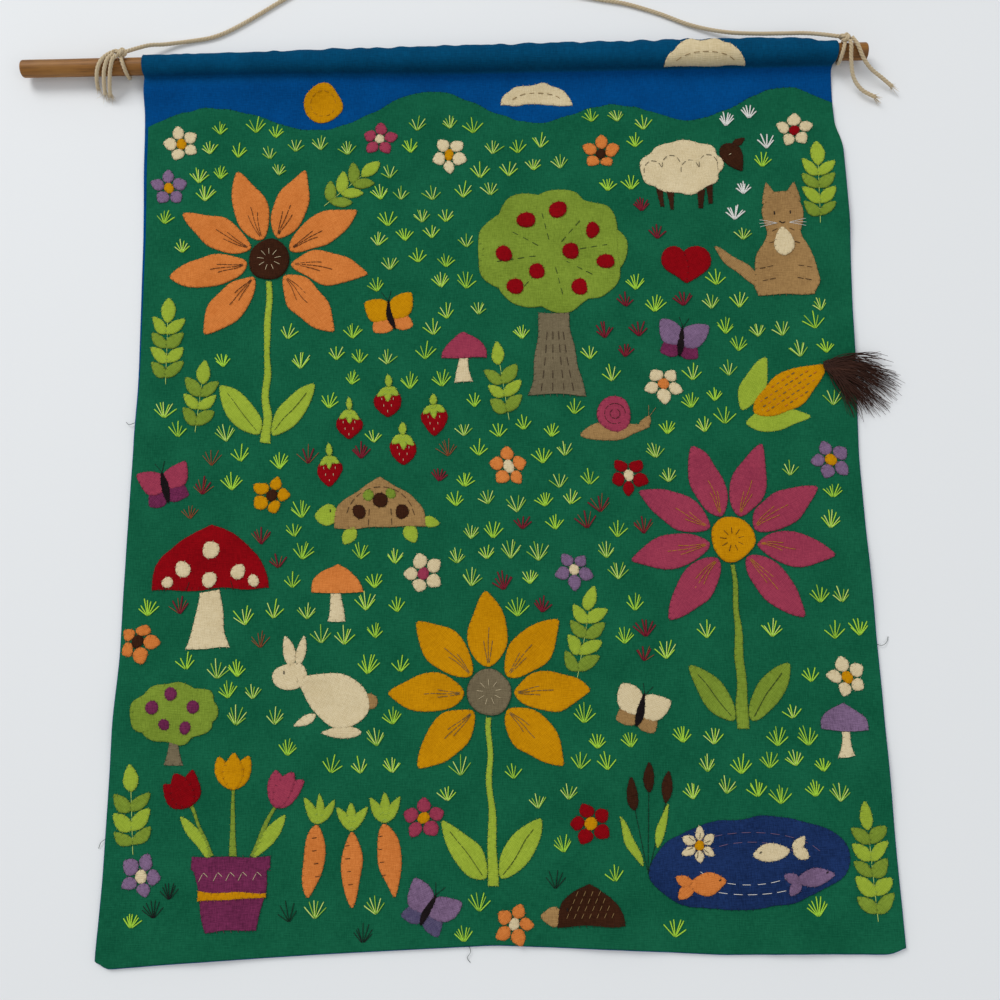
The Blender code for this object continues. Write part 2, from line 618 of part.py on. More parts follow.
dowel()
ground_cloth()
field_cloth()
for sky_piece in SKY_PIECES:
    applied(sky_piece, ON_GROUND)
applied(SLEEVE_CLOUD, ON_SLEEVE, STEP_ROUND_SLEEVE)
for field_piece in PIECES:
    applied(field_piece, ON_FIELD)
for bloom in FLOWERS:
    for bloom_piece in flower_pieces(bloom):
        applied(bloom_piece, ON_FIELD)
corn_silk()
cord("hanging_cord", HANGING_CORD, CORD_STEP)
for tail_name, tail_route in TAILS.items():
    cord(tail_name, tail_route, TAIL_STEP)
for knot_name, knot_place in KNOTS.items():
    knot(knot_name, knot_place)
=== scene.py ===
"""Appliqué wall hanging on a wooden dowel, lying face up on a pale table, as it looks from above."""

import math
from collections import namedtuple

import bpy
import numpy as np
from mathutils import Matrix, Vector


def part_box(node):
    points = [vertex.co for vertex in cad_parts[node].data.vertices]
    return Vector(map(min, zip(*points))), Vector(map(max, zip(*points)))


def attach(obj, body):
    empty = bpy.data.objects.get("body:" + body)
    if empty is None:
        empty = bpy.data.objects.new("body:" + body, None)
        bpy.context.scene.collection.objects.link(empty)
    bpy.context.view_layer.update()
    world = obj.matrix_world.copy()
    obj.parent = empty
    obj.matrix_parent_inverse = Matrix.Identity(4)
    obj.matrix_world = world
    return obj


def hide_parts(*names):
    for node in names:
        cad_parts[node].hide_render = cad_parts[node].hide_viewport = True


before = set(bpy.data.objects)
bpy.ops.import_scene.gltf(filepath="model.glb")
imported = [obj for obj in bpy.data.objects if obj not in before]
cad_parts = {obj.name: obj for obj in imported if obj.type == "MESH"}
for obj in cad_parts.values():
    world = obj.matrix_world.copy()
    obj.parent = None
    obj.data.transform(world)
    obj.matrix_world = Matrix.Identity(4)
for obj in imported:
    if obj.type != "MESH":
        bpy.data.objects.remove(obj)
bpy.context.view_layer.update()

MM = 0.001


# The view and the light.
# The hanging is seen from above, a little from its bottom edge. A large soft window of light stands past its
# top left corner, so the dowel and the sleeve throw a thin shadow down the cloth. The table is white board.
CAMERA_PLACE = Vector((25.4, -119.28, 564.5)) * MM
CAMERA_AIM = Vector((25.4, -15.4, 4.0)) * MM
CAMERA_ROLL = math.radians(-1.2)
CAMERA_LENS = 40.17
CAMERA_NEAR = 0.02

camera_data = bpy.data.cameras.new("camera")
camera_data.lens = CAMERA_LENS
camera_data.clip_start = CAMERA_NEAR
camera = bpy.data.objects.new("camera", camera_data)
bpy.context.collection.objects.link(camera)
turn_to_aim = (CAMERA_AIM - CAMERA_PLACE).to_track_quat("-Z", "Y").to_matrix().to_4x4()
camera.matrix_world = Matrix.Translation(CAMERA_PLACE) @ turn_to_aim @ Matrix.Rotation(CAMERA_ROLL, 4, "Z")
bpy.context.scene.camera = camera

Light = namedtuple("Light", "name place size watts")
LIGHTS = [
    Light("window", (-1.25, 1.55, 2.0), 1.3, 40.0),
    Light("fill", (1.2, -1.0, 2.2), 2.0, 13.0),
]
for light in LIGHTS:
    lamp = bpy.data.lights.new(light.name, "AREA")
    lamp.size = light.size
    lamp.energy = light.watts
    holder = bpy.data.objects.new(light.name, lamp)
    holder.location = light.place
    holder.rotation_euler = (-Vector(light.place)).to_track_quat("-Z", "Y").to_euler()
    bpy.context.collection.objects.link(holder)

ROOM_COLOUR = (0.95, 0.97, 1.0, 1.0)
ROOM_STRENGTH = 0.5
room = bpy.data.worlds.new("room")
room.use_nodes = True
room.node_tree.nodes["Background"].inputs["Color"].default_value = ROOM_COLOUR
room.node_tree.nodes["Background"].inputs["Strength"].default_value = ROOM_STRENGTH
bpy.context.scene.world = room
bpy.context.scene.view_settings.view_transform = "Standard"


def linear(code):
    """An sRGB hex colour as linear red, green, blue and alpha."""
    parts = [int(code[i : i + 2], 16) / 255 for i in (1, 3, 5)]
    return (*(part / 12.92 if part <= 0.04045 else ((part + 0.055) / 1.055) ** 2.4 for part in parts), 1.0)


def node(tree, kind, sockets, out=0, **settings):
    """Adds a node and gives one of its outputs. Each socket takes another node's output or a fixed value."""
    made = tree.nodes.new("ShaderNode" + kind)
    for name, value in settings.items():
        setattr(made, name, value)
    for socket, value in sockets.items():
        if isinstance(value, bpy.types.NodeSocket):
            tree.links.new(value, made.inputs[socket])
        else:
            made.inputs[socket].default_value = value
    return made.outputs[out]


def start_material(name, **surface):
    """A new material with its surface's fixed values set: the material, its tree and the surface."""
    made = bpy.data.materials.new(name)
    made.use_nodes = True
    principled = made.node_tree.nodes["Principled BSDF"]
    for socket, value in surface.items():
        principled.inputs[socket.replace("_", " ")].default_value = value
    return made, made.node_tree, principled


# White mounting board: smooth, matt paper with a faint tooth.
board, tree, surface = start_material(
    "white_board_paper", Base_Color=linear("#E8EAEB"), Roughness=0.85, Specular_IOR_Level=0.15
)
where = node(tree, "TexCoord", {}, "Object")
tooth = node(tree, "TexNoise", {"Vector": where, "Scale": 900.0, "Detail": 3.0}, "Fac")
relief = node(tree, "Bump", {"Height": tooth, "Strength": 0.1, "Distance": 0.0002})
tree.links.new(relief, surface.inputs["Normal"])

FLOOR_REACH = 3.0
FLOOR_DROP = 0.00005
FLOOR_SIGNS = [(-1, -1), (1, -1), (1, 1), (-1, 1)]
floor_corners = [(x * FLOOR_REACH, y * FLOOR_REACH, -FLOOR_DROP) for x, y in FLOOR_SIGNS]
floor_mesh = bpy.data.meshes.new("floor")
floor_mesh.from_pydata(floor_corners, [], [(0, 1, 2, 3)])
floor_mesh.materials.append(board)
floor = bpy.data.objects.new("floor", floor_mesh)
bpy.context.collection.objects.link(floor)


# The hanging cord.
# One length of three-ply twisted cotton, 2.3 mm thick, knotted round the dowel on both sides of the cloth. It
# comes down from each knot on to the table and lies there in one slack loop past the dowel.
CORD_DIAMETER = 2.3
CORD_PLIES = 3
PLY_RADIUS = 0.57
PLY_SIDES = 6
PLY_OUT = 0.59  # from the cord's middle to a ply's middle
PLY_TURN = 5.6  # length of one whole twist
CORD_STEP = 0.65  # between rings of points
CURVE_STEPS = 32
HANGING_CORD = [
    (-173.2, 236.0, 11.9), (-168.6, 239.8, 8.8), (-162.4, 243.8, 5.4), (-156.0, 245.4, 3.2),
    (-148.9, 247.0, 1.9), (-139.0, 248.6, 1.3), (-130.3, 250.1, 1.25), (-121.4, 253.4, 1.25),
    (-108.7, 260.6, 1.25), (-90.5, 272.4, 1.25), (-78.0, 279.8, 1.25), (-62.0, 286.4, 1.25),
    (-42.0, 290.2, 1.25), (-20.0, 290.6, 1.25), (5.0, 287.6, 1.25), (30.0, 282.4, 1.25), (55.0, 276.4, 1.25),
    (72.0, 272.2, 1.25), (88.0, 268.6, 1.25), (102.0, 265.6, 1.25), (119.5, 259.4, 1.25), (137.0, 251.6, 1.5),
    (154.5, 246.0, 3.2), (171.5, 242.8, 5.8), (188.0, 241.3, 7.8), (197.0, 240.7, 8.6), (206.0, 239.2, 9.6),
    (215.6, 236.1, 11.9),
]


def distances(route):
    """How far along a route each of its points is."""
    return np.concatenate([[0.0], np.cumsum(np.linalg.norm(np.diff(route, axis=0), axis=1))])


def at_distances(route, at):
    """Places on a route at distances along it."""
    run = distances(route)
    return np.stack([np.interp(at, run, column) for column in np.transpose(route)], -1)


def smooth_route(points, step):
    """Points a step apart on a smooth curve through a route's own points.

    Between two points the curve is the cubic whose end slopes are half the chord between their neighbours.
    """
    knots = np.array(points, float)
    ends = np.concatenate([[2 * knots[0] - knots[1]], knots, [2 * knots[-1] - knots[-2]]])
    share = np.linspace(0, 1, CURVE_STEPS + 1)[:-1, None, None]
    before, start, end, after = (ends[i : len(knots) - 1 + i] for i in range(4))
    curve = 0.5 * (
        2 * start
        + (end - before) * share
        + (2 * before - 5 * start + 4 * end - after) * share**2
        + (3 * start - before - 3 * end + after) * share**3
    )
    curve = np.concatenate([curve.transpose(1, 0, 2).reshape(-1, knots.shape[1]), knots[-1:]])
    long = distances(curve)[-1]
    return at_distances(curve, np.linspace(0, long, max(4, round(long / step)) + 1))


def add_piece(name, finish, points, quads, flat=None):
    """A mesh object from points in mm and four-sided faces; flat gives each point's place on flat cloth."""
    mesh = bpy.data.meshes.new(name)
    points, quads = np.asarray(points, float).reshape(-1, 3), np.asarray(quads).reshape(-1, 4)
    mesh.vertices.add(len(points))
    mesh.vertices.foreach_set("co", (points * MM).ravel())
    mesh.loops.add(quads.size)
    mesh.loops.foreach_set("vertex_index", quads.ravel().astype(np.int32))
    mesh.polygons.add(len(quads))
    mesh.polygons.foreach_set("loop_start", np.arange(0, quads.size, 4, dtype=np.int32))
    mesh.polygons.foreach_set("use_smooth", np.ones(len(quads), bool))
    if flat is not None:
        places = mesh.uv_layers.new(name="flat")
        places.data.foreach_set("uv", (np.asarray(flat, float).reshape(-1, 2) * MM)[quads.ravel()].ravel())
    mesh.update(calc_edges=True)
    mesh.validate()
    mesh.materials.append(finish)
    made = bpy.data.objects.new(name, mesh)
    bpy.context.collection.objects.link(made)
    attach(made, "root")
    return made


def across_and_over(paths, up):
    """Two unit directions square to each path: its direction crossed with up, and one square to both."""
    ahead = np.gradient(paths, axis=-2)
    ahead /= np.linalg.norm(ahead, axis=-1, keepdims=True)
    across = np.cross(ahead, up)
    across /= np.linalg.norm(across, axis=-1, keepdims=True)
    return across, np.cross(across, ahead)


def tubes(paths, radius, sides=4, up=(0.0, 0.0, 1.0), closed=False):
    """Round tubes along many paths at once: their points, faces and flat places.

    At each point of a path a ring of points stands square to it, at a radius that may change along the path:
    ring = point + radius * (cos a * across + sin a * over), with a round the full turn.
    """
    paths = np.asarray(paths, float)
    if closed:
        wrapped = np.concatenate([paths[:, -2:-1], paths, paths[:, 1:2]], 1)
        across, over = (part[:, 1:-1] for part in across_and_over(wrapped, up))
    else:
        across, over = across_and_over(paths, up)
    count, long = paths.shape[:2]
    angle = 2 * np.pi * (np.arange(sides) + 0.5) / sides
    ring = np.cos(angle)[:, None] * across[:, :, None] + np.sin(angle)[:, None] * over[:, :, None]
    points = paths[:, :, None] + np.broadcast_to(radius, (count, long))[:, :, None, None] * ring
    index = np.arange(count * long * sides).reshape(count, long, sides)
    if closed:
        index = np.concatenate([index[:, :-1], index[:, :1]], 1)
    beside = np.roll(index, -1, 2)
    walls = np.stack([index[:, :-1], index[:, 1:], beside[:, 1:], beside[:, :-1]], -1).reshape(-1, 4)
    caps = []
    if not closed:
        for end, order in ((index[:, 0], (0, 1, 2, 3)), (index[:, -1], (3, 2, 1, 0))):
            for first in range(0, sides - 2, 2):
                corners = [end[:, 0], end[:, first + 1], end[:, first + 2], end[:, (first + 3) % sides]]
                caps.append(np.stack(corners, -1)[:, order])
    legs = np.linalg.norm(np.diff(paths, axis=1), axis=2)
    run = np.concatenate([np.zeros((count, 1)), np.cumsum(legs, 1)], 1)
    flat = np.stack(np.broadcast_arrays(run[:, :, None], np.arange(sides) * 1.0), -1)
    return points.reshape(-1, 3), np.concatenate([walls, *caps]), flat.reshape(-1, 2)


def join(parts):
    """Several lots of points, faces and flat places as one."""
    starts = np.cumsum([0] + [len(points) for points, _, _ in parts[:-1]])
    return (
        np.concatenate([points for points, _, _ in parts]),
        np.concatenate([faces + start for (_, faces, _), start in zip(parts, starts)]),
        np.concatenate([flat for _, _, flat in parts]),
    )


def plied(route, up=(0.0, 0.0, 1.0), closed=False, turn=PLY_TURN):
    """Twisted cord along a route: each ply's middle circles the route's, once in each turn of its length."""
    route = np.asarray(route, float)
    wrapped = np.concatenate([route[-2:-1], route, route[1:2]]) if closed else route
    across, over = across_and_over(wrapped, up)
    if closed:
        across, over = across[1:-1], over[1:-1]
    run = distances(route)
    turns = max(1, round(run[-1] / turn)) if closed else run[-1] / turn
    phase = 2 * np.pi * (run / run[-1] * turns + np.arange(CORD_PLIES)[:, None] / CORD_PLIES)
    middles = route + PLY_OUT * (np.cos(phase)[..., None] * across + np.sin(phase)[..., None] * over)
    return tubes(middles, PLY_RADIUS, PLY_SIDES, up, closed)


# Natural cotton cord: undyed carded cotton, spun and plied. It is warm off-white and matt, a little darker
# between the plies, with fine fibres that run along each ply.
cotton_cord, tree, surface = start_material(
    "twisted_cotton_cord", Roughness=0.85, Sheen_Weight=0.25, Sheen_Roughness=0.5
)
along_plies = node(tree, "Mapping", {"Vector": node(tree, "TexCoord", {}, "UV"), "Scale": (300.0, 1600.0, 1.0)})
fibres = node(tree, "TexNoise", {"Vector": along_plies, "Scale": 1.0, "Detail": 4.0}, "Fac")
where = node(tree, "TexCoord", {}, "Object")
soil = node(tree, "TexNoise", {"Vector": where, "Scale": 60.0, "Detail": 2.0}, "Fac")
# Sockets 6 and 7 of a Mix node are its two colours, and its output 2 is their mix.
tones = node(tree, "Mix", {0: fibres, 6: linear("#B3A484"), 7: linear("#DDD0B5")}, 2, data_type="RGBA")
aged = node(tree, "Mix", {0: soil, 6: tones, 7: linear("#BDA47A")}, 2, data_type="RGBA")
relief = node(tree, "Bump", {"Height": fibres, "Strength": 0.5, "Distance": 0.0002})
tree.links.new(aged, surface.inputs["Base Color"])
tree.links.new(relief, surface.inputs["Normal"])

loop_route = smooth_route(HANGING_CORD, CORD_STEP)
hanging_cord = add_piece("cotton_hanging_cord", cotton_cord, *plied(loop_route))
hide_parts("hanging_cord")


# The loose ends of the cord.
# Past each knot the cord's ends are left long, and stand off the dowel before they drop towards the table.
# They were cut and not whipped, so each has come apart into a small brush of cotton fibres.
TAILS = {
    "tail_left_1": [
        (-179.3, 236.0, 12.5), (-183.2, 233.2, 13.4), (-186.0, 229.5, 14.0), (-188.2, 225.4, 12.5),
        (-189.6, 221.5, 8.8), (-190.3, 218.8, 4.2),
    ],
    "tail_left_2": [
        (-179.1, 233.4, 14.2), (-181.8, 230.8, 14.5), (-183.4, 227.6, 13.8), (-184.9, 223.8, 11.5),
        (-186.0, 219.0, 7.4), (-186.5, 215.8, 3.4),
    ],
    "tail_left_3": [
        (-177.4, 231.7, 15.2), (-179.2, 229.6, 15.2), (-180.7, 226.2, 13.4), (-182.0, 222.6, 10.6),
        (-183.2, 218.0, 6.6), (-183.8, 215.0, 3.2),
    ],
    "tail_right_1": [
        (220.1, 231.9, 15.1), (220.6, 228.4, 14.9), (221.0, 223.0, 12.0), (223.0, 214.8, 7.2),
        (227.9, 208.7, 4.4), (235.6, 204.6, 3.2),
    ],
    "tail_right_2": [
        (221.7, 234.3, 13.9), (224.4, 229.4, 14.3), (227.9, 223.0, 11.6), (232.7, 218.7, 8.2),
        (239.2, 214.9, 5.4), (245.0, 210.8, 3.4),
    ],
}
FRAY_FIBRES = 26
FRAY_POINTS = 6
FRAY_LENGTH = 3.2
FRAY_STRAY = (0.6, 1.25)  # the shortest and the longest fibre, as shares of that length
FRAY_START, FRAY_START_MOST = 0.33, 1.4  # how far from the cord's middle the fibres start
FRAY_SPREAD, FRAY_CURL = 0.34, 1.6
FIBRE_RADIUS, FIBRE_ROOT = 0.13, 1.15  # the root's radius is a little over the fibre's
FIBRE_LOWEST = 0.25  # over the table


def frayed_end(route, random):
    """A brush of fibres past a cord's end: each bends out in a chance direction and thins to its tip."""
    ahead = route[-1] - route[-3]
    ahead /= np.linalg.norm(ahead)
    share = np.linspace(0, 1, FRAY_POINTS)[None, :, None]
    aside = random.normal(0, 1, (FRAY_FIBRES, 1, 3))
    length = FRAY_LENGTH * random.uniform(*FRAY_STRAY, (FRAY_FIBRES, 1, 1))
    root = FRAY_START * CORD_DIAMETER * np.clip(aside, -FRAY_START_MOST, FRAY_START_MOST) * (1 - ahead**2)
    paths = route[-2] + root + length * (share * ahead + FRAY_SPREAD * share**FRAY_CURL * aside)
    paths[..., 2] = np.maximum(paths[..., 2], FIBRE_LOWEST)
    return tubes(paths, FIBRE_RADIUS * (FIBRE_ROOT - share[..., 0]))


random = np.random.default_rng(4)
tails, brushes, tail_routes = {}, {}, {}
for name, points in TAILS.items():
    route = tail_routes[name] = smooth_route(points, CORD_STEP)
    tails[name] = add_piece(name.replace("tail", "cord_end"), cotton_cord, *plied(route))
    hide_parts(name)
    brushes[name] = add_piece(name.replace("tail", "frayed"), cotton_cord, *frayed_end(route, random))


# The knots.
# At each end the cord takes one turn round the dowel, just clear of the wood, and is tied in an overhand knot
# on the dowel's upper side.
Knot = namedtuple("Knot", "x y z wrap_x wrap_turn")
KNOTS = {
    "knot_left": Knot(-176.0, 233.9, 12.3, -174.9, 18),
    "knot_right": Knot(218.3, 233.9, 12.3, 217.4, -14),
}
WRAP_CLEARANCE = 0.2
WRAP_POINTS = 49
OVERHAND = (0.86, 0.86, 1.05)  # the knot's size across, along and out from the dowel
OVERHAND_OUT = 1.1
OVERHAND_POINTS = 73
OVERHAND_TURN = 5.5  # length of one whole twist in the knot
dowel_low, dowel_high = (np.array(corner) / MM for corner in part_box("dowel"))
DOWEL_RADIUS = (dowel_high[2] - dowel_low[2]) / 2
DOWEL_Y, DOWEL_Z = (dowel_low[1] + dowel_high[1]) / 2, (dowel_low[2] + dowel_high[2]) / 2


def knot_parts(place):
    """A turn of cord as a circle in a plane a little off square to the dowel, and an overhand knot.

    The knot's line is (sin t + 2 sin 2t, cos t - 2 cos 2t, -sin 3t), laid flat against the line from the
    dowel out.
    """
    lean = math.radians(place.wrap_turn)
    axis = np.array([math.cos(lean), math.sin(lean), 0.0])
    side = np.array([-math.sin(lean), math.cos(lean), 0.0])
    angle = np.linspace(0, 2 * np.pi, WRAP_POINTS)[:, None]
    circle = np.cos(angle) * side + np.sin(angle) * (0, 0, 1)
    radius = DOWEL_RADIUS + WRAP_CLEARANCE + CORD_DIAMETER / 2
    turn = np.array([place.wrap_x, DOWEL_Y, DOWEL_Z]) + radius * circle
    out = np.array([0.0, place.y - DOWEL_Y, place.z - DOWEL_Z])
    out /= np.linalg.norm(out)
    along_dowel = np.array([1.0, 0.0, 0.0])
    t = np.linspace(0, 2 * np.pi, OVERHAND_POINTS)[:, None]
    wide, tall, deep = OVERHAND
    knot = (
        np.array([place.x, place.y, place.z]) + OVERHAND_OUT * out
        + wide * (np.sin(t) + 2 * np.sin(2 * t)) * along_dowel
        + tall * (np.cos(t) - 2 * np.cos(2 * t)) * np.cross(out, along_dowel)
        - deep * np.sin(3 * t) * out
    )
    return [plied(turn, axis, closed=True), plied(knot, out, closed=True, turn=OVERHAND_TURN)]


for name, place in KNOTS.items():
    tied = add_piece("cord_" + name, cotton_cord, *join(knot_parts(place)))
    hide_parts(name)

for name in ("tail_right_1", "tail_right_2"):
    route = tail_routes[name]


# The dowel.
# A length of birch or ramin rod, 9.5 mm thick, turned, sanded and oiled to a warm brown. Its ends are sawn
# square and eased by hand. The grain runs along it in fine dark pores, with paler flecks where it was rubbed.
DOWEL_EASE = 1.3
DOWEL_RINGS = 120
DOWEL_SIDES = 48
END_RADII = [0.02, 2.4]  # rings on each sawn end
ROD_SHARE = 0.985  # of the full radius, so that the rod's waves stay inside it
ROD_WAVES = [(0.008, 17), (0.006, 5.3)]
dowel_ends = dowel_low[0], dowel_high[0]
ease = np.linspace(0, np.pi / 2, 8)
end_run = np.concatenate([[0.0, 0.0], DOWEL_EASE * (1 - np.cos(ease))])  # from the sawn end along the dowel
end_radius = np.concatenate([END_RADII, DOWEL_RADIUS - DOWEL_EASE * (1 - np.sin(ease))])
shaft = np.linspace(dowel_ends[0] + DOWEL_EASE, dowel_ends[1] - DOWEL_EASE, DOWEL_RINGS)[1:-1]
along_x = np.concatenate([dowel_ends[0] + end_run, shaft, dowel_ends[1] - end_run[::-1]])
rod_radius = np.concatenate([end_radius, DOWEL_RADIUS + 0 * shaft, end_radius[::-1]])
rod_radius *= ROD_SHARE + sum(high * np.sin(along_x / long) for high, long in ROD_WAVES)
spine = np.stack([along_x, 0 * along_x + DOWEL_Y, 0 * along_x + DOWEL_Z], -1)


def turned(spine, radius, sides=DOWEL_SIDES):
    """A rod's surface: a ring round X at each place along the spine, at that place's radius, and two ends."""
    angle = 2 * np.pi * np.arange(sides) / sides
    ring = np.stack([0 * angle, np.cos(angle), np.sin(angle)], -1)
    points = spine[:, None] + radius[:, None, None] * ring
    index = np.arange(len(spine) * sides).reshape(len(spine), sides)
    beside = np.roll(index, -1, 1)
    walls = np.stack([index[:-1], beside[:-1], beside[1:], index[1:]], -1).reshape(-1, 4)
    fan = np.array([[0, first + 1, first + 2, first + 3] for first in range(0, sides - 2, 2)])
    caps = np.concatenate([index[0][fan], index[-1][fan[:, ::-1]]])
    flat = np.stack(np.broadcast_arrays(spine[:, :1], DOWEL_RADIUS * angle), -1)
    return points.reshape(-1, 3), np.concatenate([walls, caps]), flat


# Oiled birch: warm brown and satin, with dark pores stretched along the grain and paler rubbed places.
oiled_wood, tree, surface = start_material("oiled_birch", Roughness=0.5, Specular_IOR_Level=0.3)
where = node(tree, "TexCoord", {}, "Object")
grain_place = node(tree, "Mapping", {"Vector": where, "Scale": (18.0, 420.0, 420.0)})
grain = node(tree, "TexNoise", {"Vector": grain_place, "Scale": 1.0, "Detail": 6.0, "Roughness": 0.65}, "Fac")
pores_place = node(tree, "Mapping", {"Vector": where, "Scale": (110.0, 2600.0, 2600.0)})
pores = node(tree, "TexNoise", {"Vector": pores_place, "Scale": 1.0, "Detail": 2.0}, "Fac")
rubbed = node(tree, "TexNoise", {"Vector": where, "Scale": 26.0, "Detail": 3.0}, "Fac")
pale_grain = node(tree, "MapRange", {0: grain, 1: 0.32, 2: 0.72, 3: 0.0, 4: 1.0})
brown = node(tree, "Mix", {0: pale_grain, 6: linear("#643F18"), 7: linear("#9E6A2C")}, 2, data_type="RGBA")
pore_dark = node(tree, "MapRange", {0: pores, 1: 0.56, 2: 0.72, 3: 0.0, 4: 0.55})
with_pores = node(tree, "Mix", {0: pore_dark, 6: brown, 7: linear("#40250C")}, 2, data_type="RGBA")
rub_pale = node(tree, "MapRange", {0: rubbed, 1: 0.55, 2: 0.75, 3: 0.0, 4: 0.4})
wood_colour = node(tree, "Mix", {0: rub_pale, 6: with_pores, 7: linear("#BA8743")}, 2, data_type="RGBA")
relief = node(tree, "Bump", {"Height": pores, "Strength": 0.35, "Distance": 0.0002})
tree.links.new(wood_colour, surface.inputs["Base Color"])
tree.links.new(relief, surface.inputs["Normal"])

rod = add_piece("wooden_rod", oiled_wood, *turned(spine, rod_radius))
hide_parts("dowel")


# The form that all the cloth shares.
# The ground cloth lies on the table, rises to the dowel, goes round it and ends behind its own seam. Every
# other piece of cloth lies on it, so a place on any of them is x across and up the cloth, and a height over
# the ground cloth.
CLOTH = 1.0
FIELD_BASE, FIELD_TOP = 1.04, 2.3
SLEEVE_EASE = 0.15
SLEEVE_RADIUS = DOWEL_RADIUS + SLEEVE_EASE
FLAT_TOP = DOWEL_Y - 30.0

# Each side of the cloth is a table of how far up, and x there. The bottom and the top are tables of x and y.
LEFT_EDGE = [
    (-240.0, -173.0), (-233.5, -173.0), (-199.0, -171.0), (-161.5, -170.0), (-123.5, -169.0), (-92.0, -167.0),
    (-62.5, -166.5), (-21.5, -165.5), (12.0, -164.5), (47.0, -163.0), (136.0, -163.5), (213.5, -165.5),
    (226.0, -164.5), (265.0, -164.5),
]
RIGHT_EDGE = [
    (-240.0, 215.0), (-236.0, 215.0), (-186.5, 214.0), (-116.0, 213.5), (-67.5, 212.5), (4.0, 211.5),
    (37.5, 213.0), (72.5, 214.0), (132.5, 216.5), (179.0, 216.5), (188.5, 213.0), (205.0, 212.5),
    (222.0, 212.5), (234.0, 215.0), (265.0, 213.5),
]
BOTTOM_EDGE = [
    (-173.0, -233.5), (-169.0, -239.0), (-127.0, -236.5), (-65.5, -234.0), (19.5, -231.5), (82.0, -235.0),
    (127.0, -238.0), (173.0, -238.5), (208.5, -239.5), (215.0, -236.0),
]
TOP_EDGE = [
    (-166.0, 236.0), (-107.5, 237.0), (-53.0, 238.0), (18.5, 238.5), (101.0, 239.0), (171.0, 239.5),
    (199.0, 238.5), (203.0, 236.5), (214.0, 236.0),
]
# The sleeve's section before and after its way round the dowel, as y from the dowel's middle and z.
SLEEVE_RISE = [(-30.0, 0.0), (-23.0, 0.2), (-16.5, 0.8), (-11.5, 1.6), (-8.0, 2.2), (-5.9, 3.2), (-5.0, 5.2)]
SLEEVE_BACK = [(-1.5, 2.3), (-3.8, 2.2)]
SECTION_STEP = 0.4
SLACK_SPREAD = 0.6
GENTLE_RISE, GENTLE_UP, GENTLE_SPREAD = 3.4, 20, 9  # the higher part of the rise to the dowel, on the left
GENTLE_FROM, GENTLE_TO = -110, 10  # the x where it starts to lessen, and where it ends
FOLDS_END, FOLDS_FADE = 222, 14  # how far up the folds reach, and over what length they fade
TOP_EDGE_OUT = 0.9  # the top edge is seen this much further out, on the sleeve's upper side
Fold = namedtuple("Fold", "x y turn reach spread height")
FOLDS = [
    Fold(28, 0, 88.8, 205, 15, 1.0),
    Fold(180, 190, -35, 40, 17, 1.1),
    Fold(213, 143, 5, 34, 22, 1.7),
    Fold(213, 62, -6, 40, 22, 1.5),
    Fold(213, -62, 8, 46, 22, 1.5),
    Fold(214, -160, -10, 34, 21, 1.3),
    Fold(-166, 168, 12, 34, 20, 1.2),
    Fold(-165, 30, -12, 30, 18, 1.0),
    Fold(-170, -120, 10, 34, 20, 1.3),
    Fold(-118, -236, 78, 30, 20, 1.2),
    Fold(72, -234, 100, 38, 22, 1.4),
    Fold(168, -237, 80, 26, 20, 1.2),
    Fold(-60, 40, 22, 44, 17, 0.8),
    Fold(104, 70, -38, 46, 18, 0.9),
    Fold(-58, -150, 55, 40, 17, 0.8),
    Fold(96, -118, 14, 34, 17, 0.7),
    Fold(112, 186, 60, 24, 5.5, 1.0),
    Fold(192, 176, 70, 20, 5, 0.8),
    Fold(-102, 204, 80, 16, 5, 0.8),
    Fold(-40, 198, 105, 16, 5, 0.8),
    Fold(196, 64, 84, 32, 6, 0.7),
    Fold(-148, 84, 88, 44, 6.5, 0.8),
    Fold(-60, -60, 12, 34, 6, 0.6),
    Fold(52, -186, 96, 26, 6, 0.7),
]
PRESSED_CREASE = Fold(28, 0, 88.8, 200, 2.6, 0.28)  # where the cloth was stored folded
LIES_FLAT = 0.12  # taken off the folds, so that most of the cloth lies on the table
SOFT_FLOOR = 0.04
# A wrinkle's height, how drawn out it is up the cloth, its size across, its seed and its number of waves.
Wrinkle = namedtuple("Wrinkle", "height squash size seed waves")
SOFT_WRINKLES = [Wrinkle(0.16, 1.0, 38, 1, 14), Wrinkle(0.07, 0.45, 11, 2, 14)]
GATHERS = Wrinkle(0.30, 0.12, 9, 3, 9)
GATHERS_UP, GATHERS_SPREAD = 205, 16
TOP_WAVER = Wrinkle(0.3, 0.0, 12, 51, 14)


def along(rows, where, soften=3.0):
    """A table of pairs read between its rows by the first of each pair, with its corners softened."""
    at, value = zip(*rows)
    return sum(np.interp(where + shift, at, value) for shift in (-soften, 0.0, soften)) / 3


def bell(fold, x, y):
    """A soft ridge: its height times exp(-(aside / spread)^2 - (run / reach)^4), from its own middle."""
    turn = math.radians(fold.turn)
    run = (x - fold.x) * math.cos(turn) + (y - fold.y) * math.sin(turn)
    aside = (y - fold.y) * math.cos(turn) - (x - fold.x) * math.sin(turn)
    return fold.height * np.exp(-((aside / fold.spread) ** 2) - (run / fold.reach) ** 4)


def unevenness(x, y, size, seed, waves=14):
    """Soft chance hills about 1 high and one size across: a sum of sine waves in chance directions."""
    random = np.random.default_rng(seed)
    turns, phases, longs = (random.uniform(*ends, waves) for ends in ((0, np.pi), (0, 2 * np.pi), (0.7, 1.5)))
    total = 0.0
    for turn, phase, long in zip(turns, phases, longs):
        total = total + np.sin(2 * np.pi * (x * np.cos(turn) + y * np.sin(turn)) / (size * long) + phase)
    return total / math.sqrt(waves / 2)


